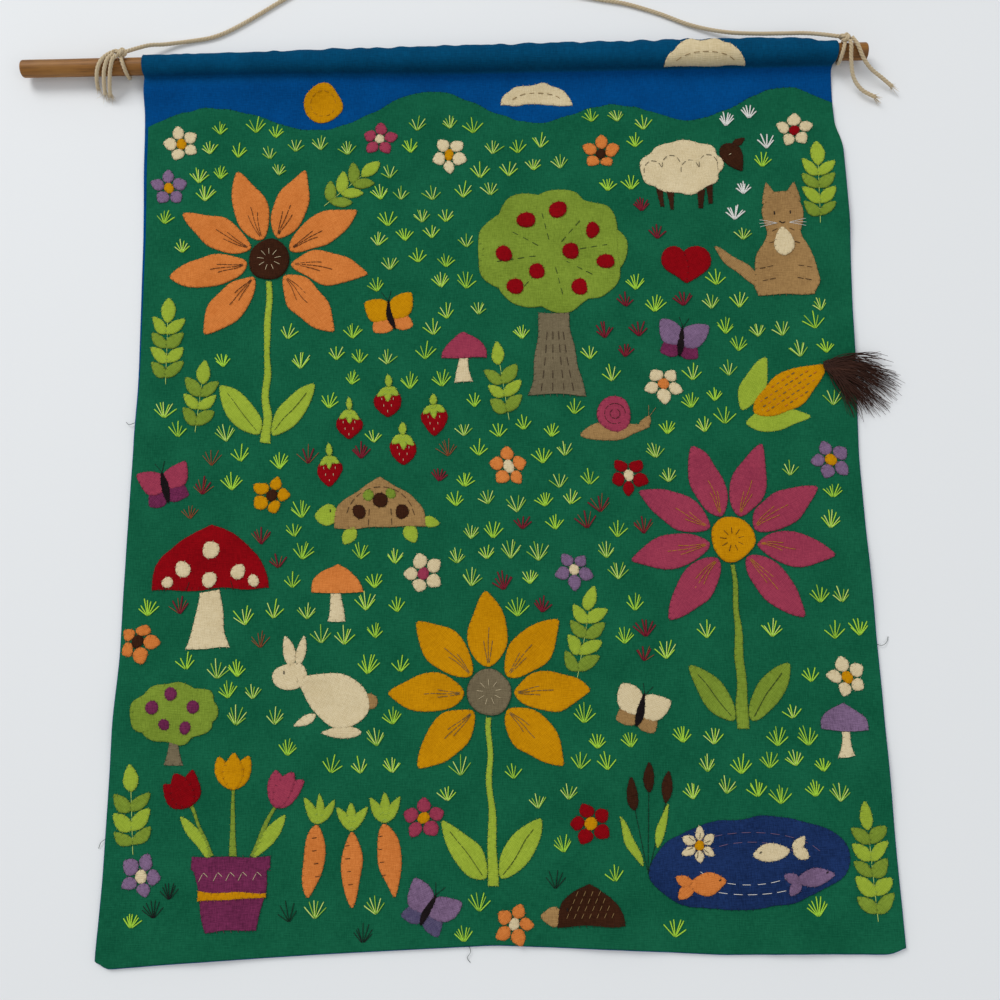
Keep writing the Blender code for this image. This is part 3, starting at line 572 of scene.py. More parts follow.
def wrinkled(kind, x, up):
    """The height of one kind of wrinkle at a place on the cloth."""
    return kind.height * unevenness(x, up * kind.squash, kind.size, kind.seed, kind.waves)


def lift_off_table(x, up):
    """How far the lowest cloth stands off the table: folds, crease, wrinkles and gathers, never under 0.

    That is (t + sqrt(t^2 + SOFT_FLOOR)) / 2 for their sum t, which is close to t above 0 and to 0 below.
    """
    high = sum(bell(fold, x, up) for fold in FOLDS) - LIES_FLAT + bell(PRESSED_CREASE, x, up)
    wrinkles = sum(wrinkled(kind, x, up) for kind in SOFT_WRINKLES)
    gathers = np.exp(-(((up - GATHERS_UP) / GATHERS_SPREAD) ** 2)) * wrinkled(GATHERS, x, up)
    total = high + wrinkles + gathers
    return 0.5 * (total + np.sqrt(total**2 + SOFT_FLOOR))


def smooth_step(x, start, end):
    """0 below start and 1 above end, with a smooth change between."""
    share = np.clip((x - start) / (end - start), 0, 1)
    return share * share * (3 - 2 * share)


angles = np.radians(np.arange(180, -91, -18))
round_dowel = [SLEEVE_RADIUS * np.cos(angles), DOWEL_Z + SLEEVE_RADIUS * np.sin(angles)]
round_dowel.append(np.maximum(np.cos(angles), 0) ** SLACK_SPREAD)  # where the slack is let out
rise, back = (np.pad(rows, ((0, 0), (0, 1))) for rows in (SLEEVE_RISE, SLEEVE_BACK))
section = smooth_route(np.concatenate([rise, np.stack(round_dowel, -1), back]), SECTION_STEP)
section_up = FLAT_TOP + distances(section[:, :2])
section_ahead = np.gradient(section[:, :2], axis=0)
section_ahead /= np.linalg.norm(section_ahead, axis=1, keepdims=True)
SLEEVE_END = section_up[-1]


def on_cloth(x, up, lift):
    """Points at a lift square to the ground cloth's under face, for places x across and up the cloth.

    Up to FLAT_TOP the cloth is the plane z = 0 plus what lifts it off the table. Above, y and z follow the
    sleeve's section, whose far side stands out by the slack that the cloth's top edge shows. On the left the
    cloth stands a little higher where it leaves the dowel.
    """
    x, up, lift = np.broadcast_arrays(*(np.asarray(part, float) for part in (x, up, lift)))
    y, z, far = (np.interp(up, section_up, column) for column in section.T)
    ahead_y, ahead_z = (np.interp(up, section_up, column) for column in section_ahead.T)
    top_edge = along(TOP_EDGE, x) - TOP_EDGE_OUT + wrinkled(TOP_WAVER, x, x)
    slack = np.maximum(top_edge - (DOWEL_Y + SLEEVE_RADIUS + CLOTH), 0.0)
    gentle = GENTLE_RISE * (1 - smooth_step(x, GENTLE_FROM, GENTLE_TO))
    gentle = gentle * np.exp(-(((up - FLAT_TOP - GENTLE_UP) / GENTLE_SPREAD) ** 2))
    flat = up <= FLAT_TOP
    fade = np.clip((FOLDS_END - up) / FOLDS_FADE, 0, 1)
    place_y = np.where(flat, up, DOWEL_Y + y + slack * far - ahead_z * lift)
    place_z = np.where(flat, lift, z + ahead_y * lift) + fade * lift_off_table(x, up) + gentle
    return np.stack([x, place_y, place_z], -1)


def closed_sheet(x, up, low, high):
    """A sheet between two heights over the cloth, on a grid of places, closed round its edge."""
    rows, wide = x.shape
    count = rows * wide
    index = np.arange(count).reshape(rows, wide)
    quads = np.stack([index[:-1, :-1], index[:-1, 1:], index[1:, 1:], index[1:, :-1]], -1).reshape(-1, 4)
    round_rim = np.concatenate([index[0, :-1], index[:-1, -1], index[-1, :0:-1], index[:0:-1, 0]])
    rim = np.stack([round_rim, np.roll(round_rim, -1)], -1)
    faces = np.concatenate([quads + count, quads[:, ::-1], np.concatenate([rim, rim[:, ::-1] + count], 1)])
    points = np.concatenate([on_cloth(x, up, part).reshape(-1, 3) for part in (low, high)])
    flat = np.tile(np.stack([x, up], -1).reshape(-1, 2), (2, 1))
    return points, faces, flat


def rolled(distance, thick, roll=0.35):
    """The height of a folded edge: a quarter circle over the first part of the way in, then flat."""
    return thick * np.sqrt(1 - (1 - np.clip(distance / roll, 0, 1)) ** 2)


def cotton(name, face, shadow, thread=0.8, second=None, second_from=0.0):
    """Plain-woven cotton: threads cross at right angles, a little uneven in thickness and dye.

    The real threads are about 0.45 mm apart, too fine to show from here, so they are drawn 0.8 mm apart. face
    and shadow are the cloth's lighter and darker tones. second is its pair past one height up the cloth: the
    change is soft on the left, where the cloth rises gently, and sharp on the right, in the crease.
    """
    made, tree, surface = start_material(name, Roughness=0.95, Specular_IOR_Level=0.04)
    flat = node(tree, "TexCoord", {}, "UV")
    weave = {"Vector": flat, "Scale": 2 * math.pi / (20 * thread * MM)}
    weave.update({"Distortion": 0.6, "Detail": 1.0, "Detail Scale": 0.3})
    warp, weft = (node(tree, "TexWave", weave, "Fac", bands_direction=way) for way in "XY")
    crossing = node(tree, "Math", {0: warp, 1: weft}, operation="MULTIPLY")
    stretches = (260.0, 2000.0, 1.0), (2000.0, 260.0, 1.0)
    places = (node(tree, "Mapping", {"Vector": flat, "Scale": stretch}) for stretch in stretches)
    slubs_across, slubs_up = (
        node(tree, "TexNoise", {"Vector": place, "Scale": 1.0, "Detail": 3.0}, "Fac") for place in places
    )
    slubs = node(tree, "Math", {0: slubs_across, 1: slubs_up}, operation="ADD")
    dye = node(tree, "TexNoise", {"Vector": flat, "Scale": 45.0, "Detail": 4.0}, "Fac")
    tone = node(tree, "Math", {0: dye, 1: 0.8, 2: slubs}, operation="MULTIPLY_ADD")
    shade = node(tree, "MapRange", {0: tone, 1: 1.12, 2: 1.68, 3: 0.0, 4: 1.0})
    colour = node(tree, "Mix", {0: shade, 6: linear(shadow), 7: linear(face)}, 2, data_type="RGBA")
    if second:
        across, upward = (node(tree, "SeparateXYZ", {0: flat}, way) for way in "XY")
        over = node(tree, "Math", {0: upward, 1: second_from * MM}, operation="SUBTRACT")
        soft = node(tree, "MapRange", {0: across, 1: -0.11, 2: 0.02, 3: 0.007, 4: 0.0012})
        share = node(tree, "Math", {0: over, 1: soft}, operation="DIVIDE")
        past = node(tree, "MapRange", {0: share, 1: -1.0, 2: 1.0, 3: 0.0, 4: 1.0})
        tones = {0: shade, 6: linear(second[1]), 7: linear(second[0])}
        other = node(tree, "Mix", tones, 2, data_type="RGBA")
        colour = node(tree, "Mix", {0: past, 6: colour, 7: other}, 2, data_type="RGBA")
    height = node(tree, "Math", {0: slubs, 1: 0.5, 2: crossing}, operation="MULTIPLY_ADD")
    relief = node(tree, "Bump", {"Height": height, "Strength": 0.55, "Distance": 0.00025})
    tree.links.new(colour, surface.inputs["Base Color"])
    tree.links.new(relief, surface.inputs["Normal"])
    return made


# The ground cloth.
# One length of blue cotton that backs the whole hanging. It shows as the sky, as a thin line round the field
# and as the dark rod sleeve, and its turned hems are the hanging's edge.
SEAM_UP = FLAT_TOP + 25.0  # where the turned-back layer is sewn down
NEAR_EDGE = (0.0, 0.0009, 0.0024)
FREE_OF_EDGE = (0.006, 0.994)
FIRST_BOTTOM = -236.0
EDGE_PASSES = 3
SLEEVE_STEP = 0.9
PUCKERS = Wrinkle(0.10, 0.3, 7, 5, 14)
PUCKERS_FROM, PUCKERS_TO = FLAT_TOP + 8, FLAT_TOP + 30
GROUND_OVER = 0.03  # how far the cloth's face stands over its thickness
GROUND_COLUMNS = 186
HIDDEN_ROWS, SKY_ROWS, SKY_FROM = 70, 32, 0.9  # the rows are closer together where the sky shows


def edge_shares(count):
    """Shares from 0 to 1, closer together at both ends, where the cloth's edge is rolled."""
    return np.concatenate([NEAR_EDGE, np.linspace(*FREE_OF_EDGE, count), 1 - np.array(NEAR_EDGE[::-1])])


def big_cloth(across, shares, rows_above, inset_left, inset_right, inset_bottom, top_line):
    """Places on a big cloth: straight between its sides, and between its bottom edge and its top line.

    A side's x depends on how far up it is read, and the bottom's y on x, so each is read again in turn.
    """
    middle = FIRST_BOTTOM + (FLAT_TOP - FIRST_BOTTOM) * shares[:, None]
    for _ in range(EDGE_PASSES):
        left = along(LEFT_EDGE, middle) + inset_left(middle)
        right = along(RIGHT_EDGE, middle) - inset_right
        x = left + (right - left) * across
        bottom = along(BOTTOM_EDGE, x) + inset_bottom
        middle = bottom + (top_line(x) - bottom) * shares[:, None]
    if len(rows_above):
        above = np.repeat(rows_above[:, None], len(across), 1)
        left, right = (along(edge, above) for edge in (LEFT_EDGE, RIGHT_EDGE))
        x, middle = np.concatenate([x, left + (right - left) * across]), np.concatenate([middle, above])
    return x, middle


def from_edges(x, up, top):
    """The distance of each place from the nearest side, from the bottom and from the top."""
    sides = np.minimum(x - x[:, :1], x[:, -1:] - x)
    return np.minimum(sides, np.minimum(up - up[:1], top - up))


hidden_rows = np.concatenate([[0.0, 0.001, 0.003], np.linspace(0.008, SKY_FROM, HIDDEN_ROWS)])
sky_rows = np.linspace(SKY_FROM, 1.0, SKY_ROWS)[1:]
sleeve_rows = np.concatenate([np.arange(FLAT_TOP, SLEEVE_END, SLEEVE_STEP)[1:], [SLEEVE_END]])
x, up = big_cloth(
    edge_shares(GROUND_COLUMNS), np.concatenate([hidden_rows, sky_rows]), sleeve_rows, lambda up: 0 * up,
    0.0, 0.0, lambda x: FLAT_TOP + 0 * x,
)
fold_over = rolled(from_edges(x, up, SLEEVE_END), CLOTH / 2)
puckers = wrinkled(PUCKERS, x, up) * smooth_step(up, PUCKERS_FROM, PUCKERS_TO)
high = CLOTH / 2 + fold_over + GROUND_OVER + puckers
blue_cotton = cotton(
    "plain_woven_blue_cotton", "#014B8A", "#013D74", second=("#034A70", "#023B5B"), second_from=SEAM_UP
)
ground_cloth = add_piece("ground_cotton", blue_cotton, *closed_sheet(x, up, CLOTH / 2 - fold_over, high))
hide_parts("ground_cloth")


# The field cloth.
# Green cotton applied over the ground cloth as far up as a line of hills, with its edge turned under all
# round and whipped down. It leaves a thin line of the ground cloth's hem at the sides and the bottom.
Hill = namedtuple("Hill", "x crest spread")
HILL_BASE = 184.0
HILLS = [Hill(-128, 207, 46), Hill(-8, 214, 44), Hill(92, 204, 36), Hill(186, 212, 40)]
HILL_WAVER = Wrinkle(0.3, 0.0, 14, 8, 14)
WHIP_PITCH, WHIP_BITE = 3.4, 0.25
FIELD_INSET = 0.4  # the ground cloth's hem that is seen past the field's edge
LEFT_INSET_UP, LEFT_INSET = [10, 195], [FIELD_INSET, 2.0]  # it widens up the left side
FIELD_HEM, FIELD_HEM_END = 0.16, (5.0, 7.5)  # what the turned hem adds, and where that ends
FIELD_ROLL, FIELD_OVER = 0.7, 0.02
FIELD_COLUMNS, FIELD_ROWS = 200, 214


def hill_line(x):
    """The field's top edge: bells over the base line, with the small bites of its whip stitches."""
    bells = sum((hill.crest - HILL_BASE) * np.exp(-(((x - hill.x) / hill.spread) ** 2)) for hill in HILLS)
    bites = WHIP_BITE * np.abs(np.sin(np.pi * x / WHIP_PITCH))
    return HILL_BASE + bells + bites + wrinkled(HILL_WAVER, x, x)


x, up = big_cloth(
    edge_shares(FIELD_COLUMNS), edge_shares(FIELD_ROWS), [],
    lambda up: np.interp(up, LEFT_INSET_UP, LEFT_INSET), FIELD_INSET, FIELD_INSET, hill_line,
)
inside = from_edges(x, up, hill_line(x))
flat_part = rolled(inside, FIELD_TOP - FIELD_BASE - FIELD_HEM, FIELD_ROLL)
high = FIELD_BASE + flat_part + FIELD_HEM * (1 - smooth_step(inside, *FIELD_HEM_END)) + FIELD_OVER
green_cotton = cotton("plain_woven_green_cotton", "#186446", "#0D5238")
field_cloth = add_piece("field_cotton", green_cotton, *closed_sheet(x, up, FIELD_BASE + 0 * x, high))
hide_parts("field_cloth")


# The applied pieces.
# Nearly four hundred pieces of plain cotton, cut freehand, their edges pressed under and whipped down all
# round. Each is thickest over its turnings and dips at every stitch. The larger ones lie on the field or the
# sky, and the small ones on the field or on those.
Dye = namedtuple("Dye", "face shadow thread")
DYES = {
    "cream": Dye("#DDCCA6", "#CBB88F", "#D2C19C"),
    "mustard": Dye("#CC8E08", "#B57A04", "#C48A12"),
    "orange": Dye("#D98240", "#C36E30", "#C97A36"),
    "magenta": Dye("#A33E54", "#8B3148", "#8E3350"),
    "taupe": Dye("#7A6E55", "#665B45", "#6B604A"),
    "brown": Dye("#402315", "#2F180D", "#3A2117"),
    "tan": Dye("#A78353", "#8D6C43", "#99794A"),
    "red": Dye("#920812", "#78050D", "#86101A"),
    "lime": Dye("#A0B53B", "#8A9F30", "#A9C455"),
    "olive": Dye("#839A36", "#6C8129", "#7C9636"),
    "plum": Dye("#7B2F56", "#571F3D", "#6A284A"),
    "navy": Dye("#203767", "#132448", "#1B2E58"),
    "lilac": Dye("#866B8B", "#67516C", "#7A617F"),
    "slate": Dye("#5F5773", "#484160", "#544C68"),
    "black": Dye("#221A1C", "#140F10", "#1A1416"),
}
cottons = {name: cotton(f"plain_woven_{name}_cotton", dye.face, dye.shadow) for name, dye in DYES.items()}

GRID, LEAST_ROWS = 1.15, 7  # between a piece's points, and the fewest rows of them
PIECE_THICK = 0.6
LOW, THIN = 0.4, 0.5  # the thickness of limbs, ears and tails, and of most that lies on another piece
ON_GROUND, ON_FIELD = CLOTH + 0.06, FIELD_TOP + 0.04
PIECE_TOP = ON_FIELD + PIECE_THICK
ON_PIECE = PIECE_TOP + 0.02
BLUNT = 0.5  # half width left at a pointed end
LOBES, LOBE_DEPTH = 9, 0.1
HAND_CUT = Wrinkle(0.4, 1.0, 19, 31, 14), Wrinkle(0.4, 1.0, 19, 32, 14)  # how far the scissors strayed
STITCH_PULL = 0.28  # how far each stitch draws the edge in
DIMPLE_REACH, DIMPLE_DEPTH = 0.9, 0.35
MIDDLE_SINK, TURNING_ENDS = 0.14, (2.2, 4.0)  # past its turnings a piece is thinner by this share
PIECE_WRINKLE, SLANT_WRINKLE = Wrinkle(0.11, 1.0, 12, 41, 14), Wrinkle(0.1, 0.3, 9, 42, 14)
DEEPEST_WRINKLE, WRINKLES_FROM = -0.16, (0.8, 3.0)
LEAST_THICK = 0.02
HOLD_SPAN = 0.6
# A whip stitch's points: how far out of the edge, how far along it, the share of the piece's height, a rise.
WHIP_STITCH = [
    (0.26, 0.2, 0.0, 0.04), (-0.04, 0.1, 0.62, 0.0), (-0.5, -0.05, 1.0, 0.06), (-1.15, -0.2, 1.0, -0.08),
]


# A shape gives, for shares from 0 to 1 of its length, how far along it that is and its two sides there.
def lobed(angle):
    """A round edge's radius where it is cut into lobes, as a share of the full radius."""
    return 1 - LOBE_DEPTH + LOBE_DEPTH * np.abs(np.cos(LOBES * angle / 2))


def both_ways(run, half):
    return run, -half, half


def petal(step, length, width):
    half = width / 2 * np.sin(np.pi * step**0.85) ** 0.8 + min(BLUNT, width / 16)
    return both_ways(length * step, half)


def drop(step, length, width):
    half = width / 2 * np.sin(np.pi * step**1.7) ** 0.55 + min(BLUNT, width / 16)
    return both_ways(length * step, half)


def ear(step, length, width):
    return both_ways(length * step, width / 2 * (1 - step**1.4) + BLUNT)


def disc(step, length, width):
    half = width / 2 * np.sin(np.pi * step) + min(BLUNT, width / 16)
    return both_ways(-length / 2 * np.cos(np.pi * step), half)


def scallop(step, length, width):
    angle = np.pi * (1 - step)
    half = width / 2 * lobed(angle) * np.sin(angle) + BLUNT
    return both_ways(length / 2 * lobed(angle) * np.cos(angle), half)


def cloud(step, length, width):
    angle = np.pi * (1 - step)
    return length / 2 * np.cos(angle), 0 * step, width * lobed(angle) * np.sin(angle) + 2 * BLUNT


def trunk(step, length, width):
    return both_ways(length * step, width / 2 * (0.5 + 0.5 * (1 - step) ** 1.6))


def dome(step, length, width):
    return both_ways(length * step, width / 2 * np.cos(np.pi / 2 * step**1.4) + BLUNT)


def pot(step, length, width):
    half = width / 2 * (0.62 + 0.3 * np.sin(np.pi / 2 * step) + 0.08 * (step > 0.8))
    return both_ways(length * step, half)


CAT_GIRTH = [  # the share of its height, and of its width
    (0.0, 0.80), (0.12, 1.0), (0.32, 0.92), (0.5, 0.66), (0.6, 0.5), (0.7, 0.62), (0.84, 0.62), (0.94, 0.46),
    (1.0, 0.2),
]


def cat(step, length, width):
    return both_ways(length * step, width / 2 * along(CAT_GIRTH, step, 0.03))


SHAPES = {shape.__name__: shape for shape in (petal, drop, ear, disc, scallop, cloud, trunk, dome, pot, cat)}
Piece = namedtuple("Piece", "name shape dye x y turn length width")


def spread(count):
    """Shares from 0 to 1, closer together at both ends."""
    return 0.5 - 0.5 * np.cos(np.linspace(0, np.pi, count + 1))


def away(x, y, reach, turn):
    """The place at a distance from another one, in a direction in degrees."""
    return x + reach * math.cos(math.radians(turn)), y + reach * math.sin(math.radians(turn))


def in_place(piece, run, aside):
    """Places along and aside of a piece's own line as places on the cloth, strayed as hand-cut edges are."""
    turn = math.radians(piece.turn)
    x = piece.x + run * math.cos(turn) - aside * math.sin(turn)
    y = piece.y + run * math.sin(turn) + aside * math.cos(turn)
    return x + wrinkled(HAND_CUT[0], x, y), y + wrinkled(HAND_CUT[1], x, y)


def outline_of(piece):
    """A piece's edge as a closed line of points that runs anticlockwise."""
    run, low, high = SHAPES[piece.shape](spread(max(16, round(piece.length))), piece.length, piece.width)
    sides = [np.stack([run, side + 0 * run], -1) for side in (low, high)]
    return np.stack(in_place(piece, *np.concatenate([sides[0], sides[1][::-1], sides[0][:1]]).T), -1)


def distance_to(line, places):
    """The distance of each place from a line of points."""
    leg = line[1:] - line[:-1]
    offset = places[:, None] - line[:-1]
    share = np.clip((offset * leg).sum(-1) / np.maximum((leg * leg).sum(-1), 1e-9), 0, 1)
    return np.linalg.norm(offset - share[..., None] * leg, axis=-1).min(1)


def holds_on(line, pitch):
    """Places a pitch apart along a line, with the unit directions to its right and along it there."""
    long = distances(line)[-1]
    count = max(4, round(long / pitch))
    at = long * (np.arange(count) + 0.5) / count
    before, here, after = (at_distances(line, at + shift) for shift in (-HOLD_SPAN, 0, HOLD_SPAN))
    ahead = (after - before) / np.maximum(np.linalg.norm(after - before, axis=1, keepdims=True), 1e-9)
    return here, np.stack([ahead[:, 1], -ahead[:, 0]], -1), ahead


sewing = {}  # paths of stitches by the colour and the radius of their thread
taken = []  # outlines that the tufts keep clear of
on_sky, on_field = [], []  # the objects sewn to each big cloth


def sew(colour, places, lifts, radius=0.15):
    """Adds stitches of one thread: places is (stitches, points, 2) on the cloth, with each point's lift."""
    places = np.asarray(places, float)
    sewing.setdefault((colour, radius), []).append(on_cloth(places[..., 0], places[..., 1], lifts))


def whip(line, level, thick, colour):
    """Small slanted stitches over an edge: from the cloth beside it, up and over, and into the piece."""
    here, out, ahead = holds_on(line, WHIP_PITCH)
    places = [here + reach * out + slant * ahead for reach, slant, _, _ in WHIP_STITCH]
    lifts = [level + share * thick + rise for _, _, share, rise in WHIP_STITCH]
    sew(colour, np.stack(places, 1), np.array(lifts))


def patch(piece, level=ON_FIELD, thick=PIECE_THICK):
    """One applied piece with its turned edge, and the stitches that hold it."""
    columns, rows = (max(LEAST_ROWS, round(size / GRID)) for size in (piece.length, piece.width))
    run, low, high = SHAPES[piece.shape](spread(columns), piece.length, piece.width)
    aside = low + (high - low) * spread(rows)[:, None]
    x, y = in_place(piece, run + 0 * aside, aside)
    line = outline_of(piece)
    places = np.stack([x.ravel(), y.ravel()], -1)
    inside = distance_to(line, places).reshape(x.shape)
    holds, out, _ = holds_on(line, WHIP_PITCH)
    to_holds = np.linalg.norm(places[:, None] - holds, axis=-1)
    drawn = np.exp(-((to_holds.min(1) / DIMPLE_REACH) ** 2))
    x, y = (places - STITCH_PULL * drawn[:, None] * out[to_holds.argmin(1)]).T.reshape(2, *x.shape)
    edge = rolled(inside, thick) * (1 - DIMPLE_DEPTH * drawn.reshape(x.shape))
    high_face = level + edge - MIDDLE_SINK * thick * smooth_step(inside, *TURNING_ENDS)
    wrinkles = wrinkled(PIECE_WRINKLE, x, y) + wrinkled(SLANT_WRINKLE, x + y, y - x)
    high_face = high_face + np.maximum(wrinkles, DEEPEST_WRINKLE) * smooth_step(inside, *WRINKLES_FROM)
    whip(line, level, thick, piece.dye)
    taken.append(line)
    points, faces, _ = closed_sheet(x, y, level + 0 * x, np.maximum(high_face, level + LEAST_THICK))
    flat = np.tile(np.stack([run + 0 * aside + piece.x, aside + piece.y], -1).reshape(-1, 2), (2, 1))
    return points, faces, flat


def applied(name, nodes, slot, pieces, **how):
    """One object of one or more applied pieces of the same cotton, in the place of their CAD nodes."""
    made = add_piece(name, cottons[pieces[0].dye], *join([patch(piece, **how) for piece in pieces]))
    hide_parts(*nodes)
    (on_sky if how.get("level") == ON_GROUND else on_field).append(made)


# The three daisies.
# Each has a ring of separate petals round a padded heart, a straight stem and two leaves at its foot.
Flower = namedtuple("Flower", "name x y petals petal_length petal_width petal heart stem leaf")
HEART_DIAMETER = 22.0
HEART_THICK = 1.1
PETAL_GAP = 0.8
PETALS_FROM = HEART_DIAMETER / 2 + PETAL_GAP + BLUNT
STEM_WIDTH = 5.5
LEAF_LENGTH, LEAF_WIDTH, LEAF_TURN, LEAF_UP = 34.0, 13.0, 38.0, 4.0
FLOWERS = [
    Flower("orange_daisy", -95, 118, 8, 41, 17, "orange", "brown", 100, "lime"),
    Flower("magenta_daisy", 143, -38, 8, 40, 17, "magenta", "mustard", 94, "olive"),
    Flower("mustard_daisy", 18, -112, 7, 38, 19, "mustard", "taupe", 92, "lime"),
]


def petals_of(flower):
    """A daisy's petals, in a ring that leaves room for the stem."""
    turns = [270 + 360 * number / (flower.petals + 1) for number in range(1, flower.petals + 1)]
    return [
        Piece(f"{flower.name}_petal_{number}", "petal", flower.petal,
              *away(flower.x, flower.y, PETALS_FROM, turn), turn, flower.petal_length, flower.petal_width)
        for number, turn in enumerate(turns, 1)
    ]


def leaves_of(flower):
    """A daisy's two leaves, which stand out from the foot of its stem."""
    foot = flower.y - flower.stem + LEAF_UP
    return [
        Piece(flower.name + side, "petal", flower.leaf, flower.x - sign * (STEM_WIDTH / 2 + PETAL_GAP), foot,
              90 + sign * LEAF_TURN, LEAF_LENGTH, LEAF_WIDTH)
        for sign, side in ((-1, "_leaf_right"), (1, "_leaf_left"))
    ]


for flower in FLOWERS:
    name, petals, leaves = flower.name, petals_of(flower), leaves_of(flower)
    x, y, leaf_slot = flower.x, flower.y, flower.leaf + "_cotton"
    long = flower.stem - PETALS_FROM
    heart = Piece(name + "_heart", "disc", flower.heart, x, y, 0, HEART_DIAMETER, HEART_DIAMETER)
    stem = Piece(name + "_stem", "trunk", flower.leaf, x, y - flower.stem, 90, long, STEM_WIDTH)
    applied(name + "_petals", [part.name for part in petals], flower.petal + "_cotton", petals)
    applied(name + "_heart", [heart.name], flower.heart + "_cotton", [heart], thick=HEART_THICK)
    applied(name + "_stem", [stem.name], leaf_slot, [stem])
    applied(name + "_leaves", [part.name for part in leaves], leaf_slot, leaves)


# The larger pieces of the picture.
# A tree, a mushroom, a pond, a sheep, a cat, a tortoise, a pot and a corn cob lie on the field. The sun and a
# low cloud lie on the sky, and a second cloud rides up on to the sleeve.
PIECES = [
    Piece("tree_trunk", "trunk", "taupe", 56, 40, 90, 45, 31),
    Piece("tree_crown", "scallop", "olive", 56, 120, 0, 82, 70),
    Piece("mushroom_stem", "trunk", "cream", -122, -88, 90, 29, 22),
    Piece("mushroom_cap", "dome", "red", -122, -58, 90, 34, 58),
    Piece("pond", "disc", "navy", 142, -196, 4, 98, 42),
    Piece("sheep", "scallop", "cream", 128, 166, 4, 46, 31),
    Piece("cat", "cat", "tan", 180, 92, 90, 58, 36),
    Piece("tortoise", "dome", "tan", -36, -28, 90, 26, 46),
    Piece("pot", "pot", "plum", -108, -222, 90, 34, 40),
    Piece("corn_cob", "petal", "mustard", 158, 28, 32, 46, 19),
]
SKY_PIECES = [
    Piece("sun", "disc", "mustard", -67, 208, 0, 21, 21),
    Piece("cloud_low", "cloud", "cream", 50, 205, 0, 40, 12),
    Piece("cloud_high", "cloud", "cream", 142, 227.5, 0, 46, 12),
]
for level, pieces in ((ON_FIELD, PIECES), (ON_GROUND, SKY_PIECES)):
    for piece in pieces:
        applied(piece.name + "_patch", [piece.name], piece.dye + "_cotton", [piece], level=level)


# The small pieces.
# Each belongs to a motif, and lies on the field or on a larger piece. They are cut from the same cottons and
# a few more. Limbs, ears and tails lie a little lower than the bodies that they join.
def motif(name, pieces, **how):
    """The pieces of one motif, joined into one object for each of their cottons."""
    for dye in dict.fromkeys(piece.dye for piece in pieces):
        parts = [patch(piece, **how) for piece in pieces if piece.dye == dye]
        on_field.append(add_piece(f"{name}_{dye}", cottons[dye], *join(parts)))


def petals_round(dye, x, y, count, reach, length, width, first=90.0):
    """A ring of petals about a middle."""
    turns = [first + 360 * number / count for number in range(count)]
    return [Piece("petal", "petal", dye, *away(x, y, reach, turn), turn, length, width) for turn in turns]


def dots(dye, size, *places):
    """Round pieces of one size."""
    return [Piece("dot", "disc", dye, x, y, 0, size, size) for x, y in places]


def leaf(dye, x, y, turn, length, width):
    return Piece("leaf", "petal", dye, x, y, turn, length, width)


def upright(shape, dye, x, y, length, width, turn=90):
    return Piece(shape, shape, dye, x, y, turn, length, width)


motif("sheep_head", [upright("drop", "brown", 160, 163, 18, 10.5, 118)], thick=0.7)
SHEEP_LEGS = [(115.5, 154), (121, 153), (137, 153), (141.5, 155.5)]
sheep_legs = [upright("trunk", "brown", x, y, 11, 4.4, 270) for x, y in SHEEP_LEGS]
motif("sheep_limbs", [leaf("brown", 155.5, 178, 30, 8, 4)] + sheep_legs, thick=LOW)
ears = [upright("ear", "tan", x, 145, 11, 8, turn) for x, turn in ((174.4, 100), (185.6, 80))]
motif("cat_ears", ears, thick=LOW)
motif("cat_tail", [leaf("tan", 168, 97, 138, 34, 6.5)], thick=LOW)
motif("cat_bib", [leaf("cream", 180, 114, 90, 16, 10)], level=ON_PIECE)
motif("tortoise_limbs", [
    leaf("lime", -57, -22, 172, 13, 10), leaf("lime", -50, -27, 248, 10, 6.5),
    leaf("lime", -22, -27, 292, 10, 6.5), leaf("lime", -14.5, -25, -12, 9, 4.5),
], thick=LOW)
shell = dots("brown", 7.0, (-36, -14), (-47, -20), (-25, -20))
motif("tortoise_shell", shell + dots("olive", 5.5, (-41.5, -11), (-30.5, -11)), level=ON_PIECE, thick=THIN)
motif("rabbit", [upright("drop", "cream", -79, -103, 41, 25, -27)])
motif("rabbit_limbs", [
    Piece("head", "disc", "cream", -81, -102, 22, 16, 12.5), leaf("cream", -80, -97, 104, 15, 5.2),
    leaf("cream", -77, -97, 80, 15, 5.2), leaf("cream", -68, -121, 205, 12, 4.6),
    leaf("cream", -45, -130.4, 178, 20, 5),
], thick=LOW)
motif("rabbit_tail", dots("tan", 7.5, (-41.4, -115.4)), thick=0.3)
motif("hedgehog", [upright("dome", "brown", 64, -223, 19, 32)])
motif("hedgehog_nose", [leaf("tan", 51, -218.5, 176, 10, 8)], thick=LOW)
motif("snail_body", [leaf("tan", 68, 19, 4, 36, 8.5), leaf("tan", 100, 20.5, 66, 8, 5)], thick=LOW)
motif("snail_shell", dots("magenta", 18.0, (86, 29)), thick=0.95)

FISH = [(112, -206, 6, "orange"), (162, -190, 188, "cream"), (164, -205, 12, "lilac")]
for x, y, turn, dye in FISH:
    fins = [leaf(dye, x + 1.5, y, turn + aside, 8, 5) for aside in (142, 218)]
    motif(f"fish_{x}", [leaf(dye, x, y, turn, 19, 8.5)] + fins, level=ON_PIECE)
LILY = 118, -187
lily = petals_round("cream", *LILY, 6, 2.2, 6.5, 4.2) + dots("mustard", 4.6, LILY)
motif("lily", lily, level=ON_PIECE, thick=THIN)
BULRUSHES = [(88, -170), (95, -162), (103, -167)]
motif("bulrushes", [leaf("brown", x, y, 88 + (95 - x), 15, 5) for x, y in BULRUSHES])
motif("bulrush_leaves", [leaf("lime", 90, -196, 112, 25, 4.5), leaf("lime", 97, -188, 70, 22, 4.5)])

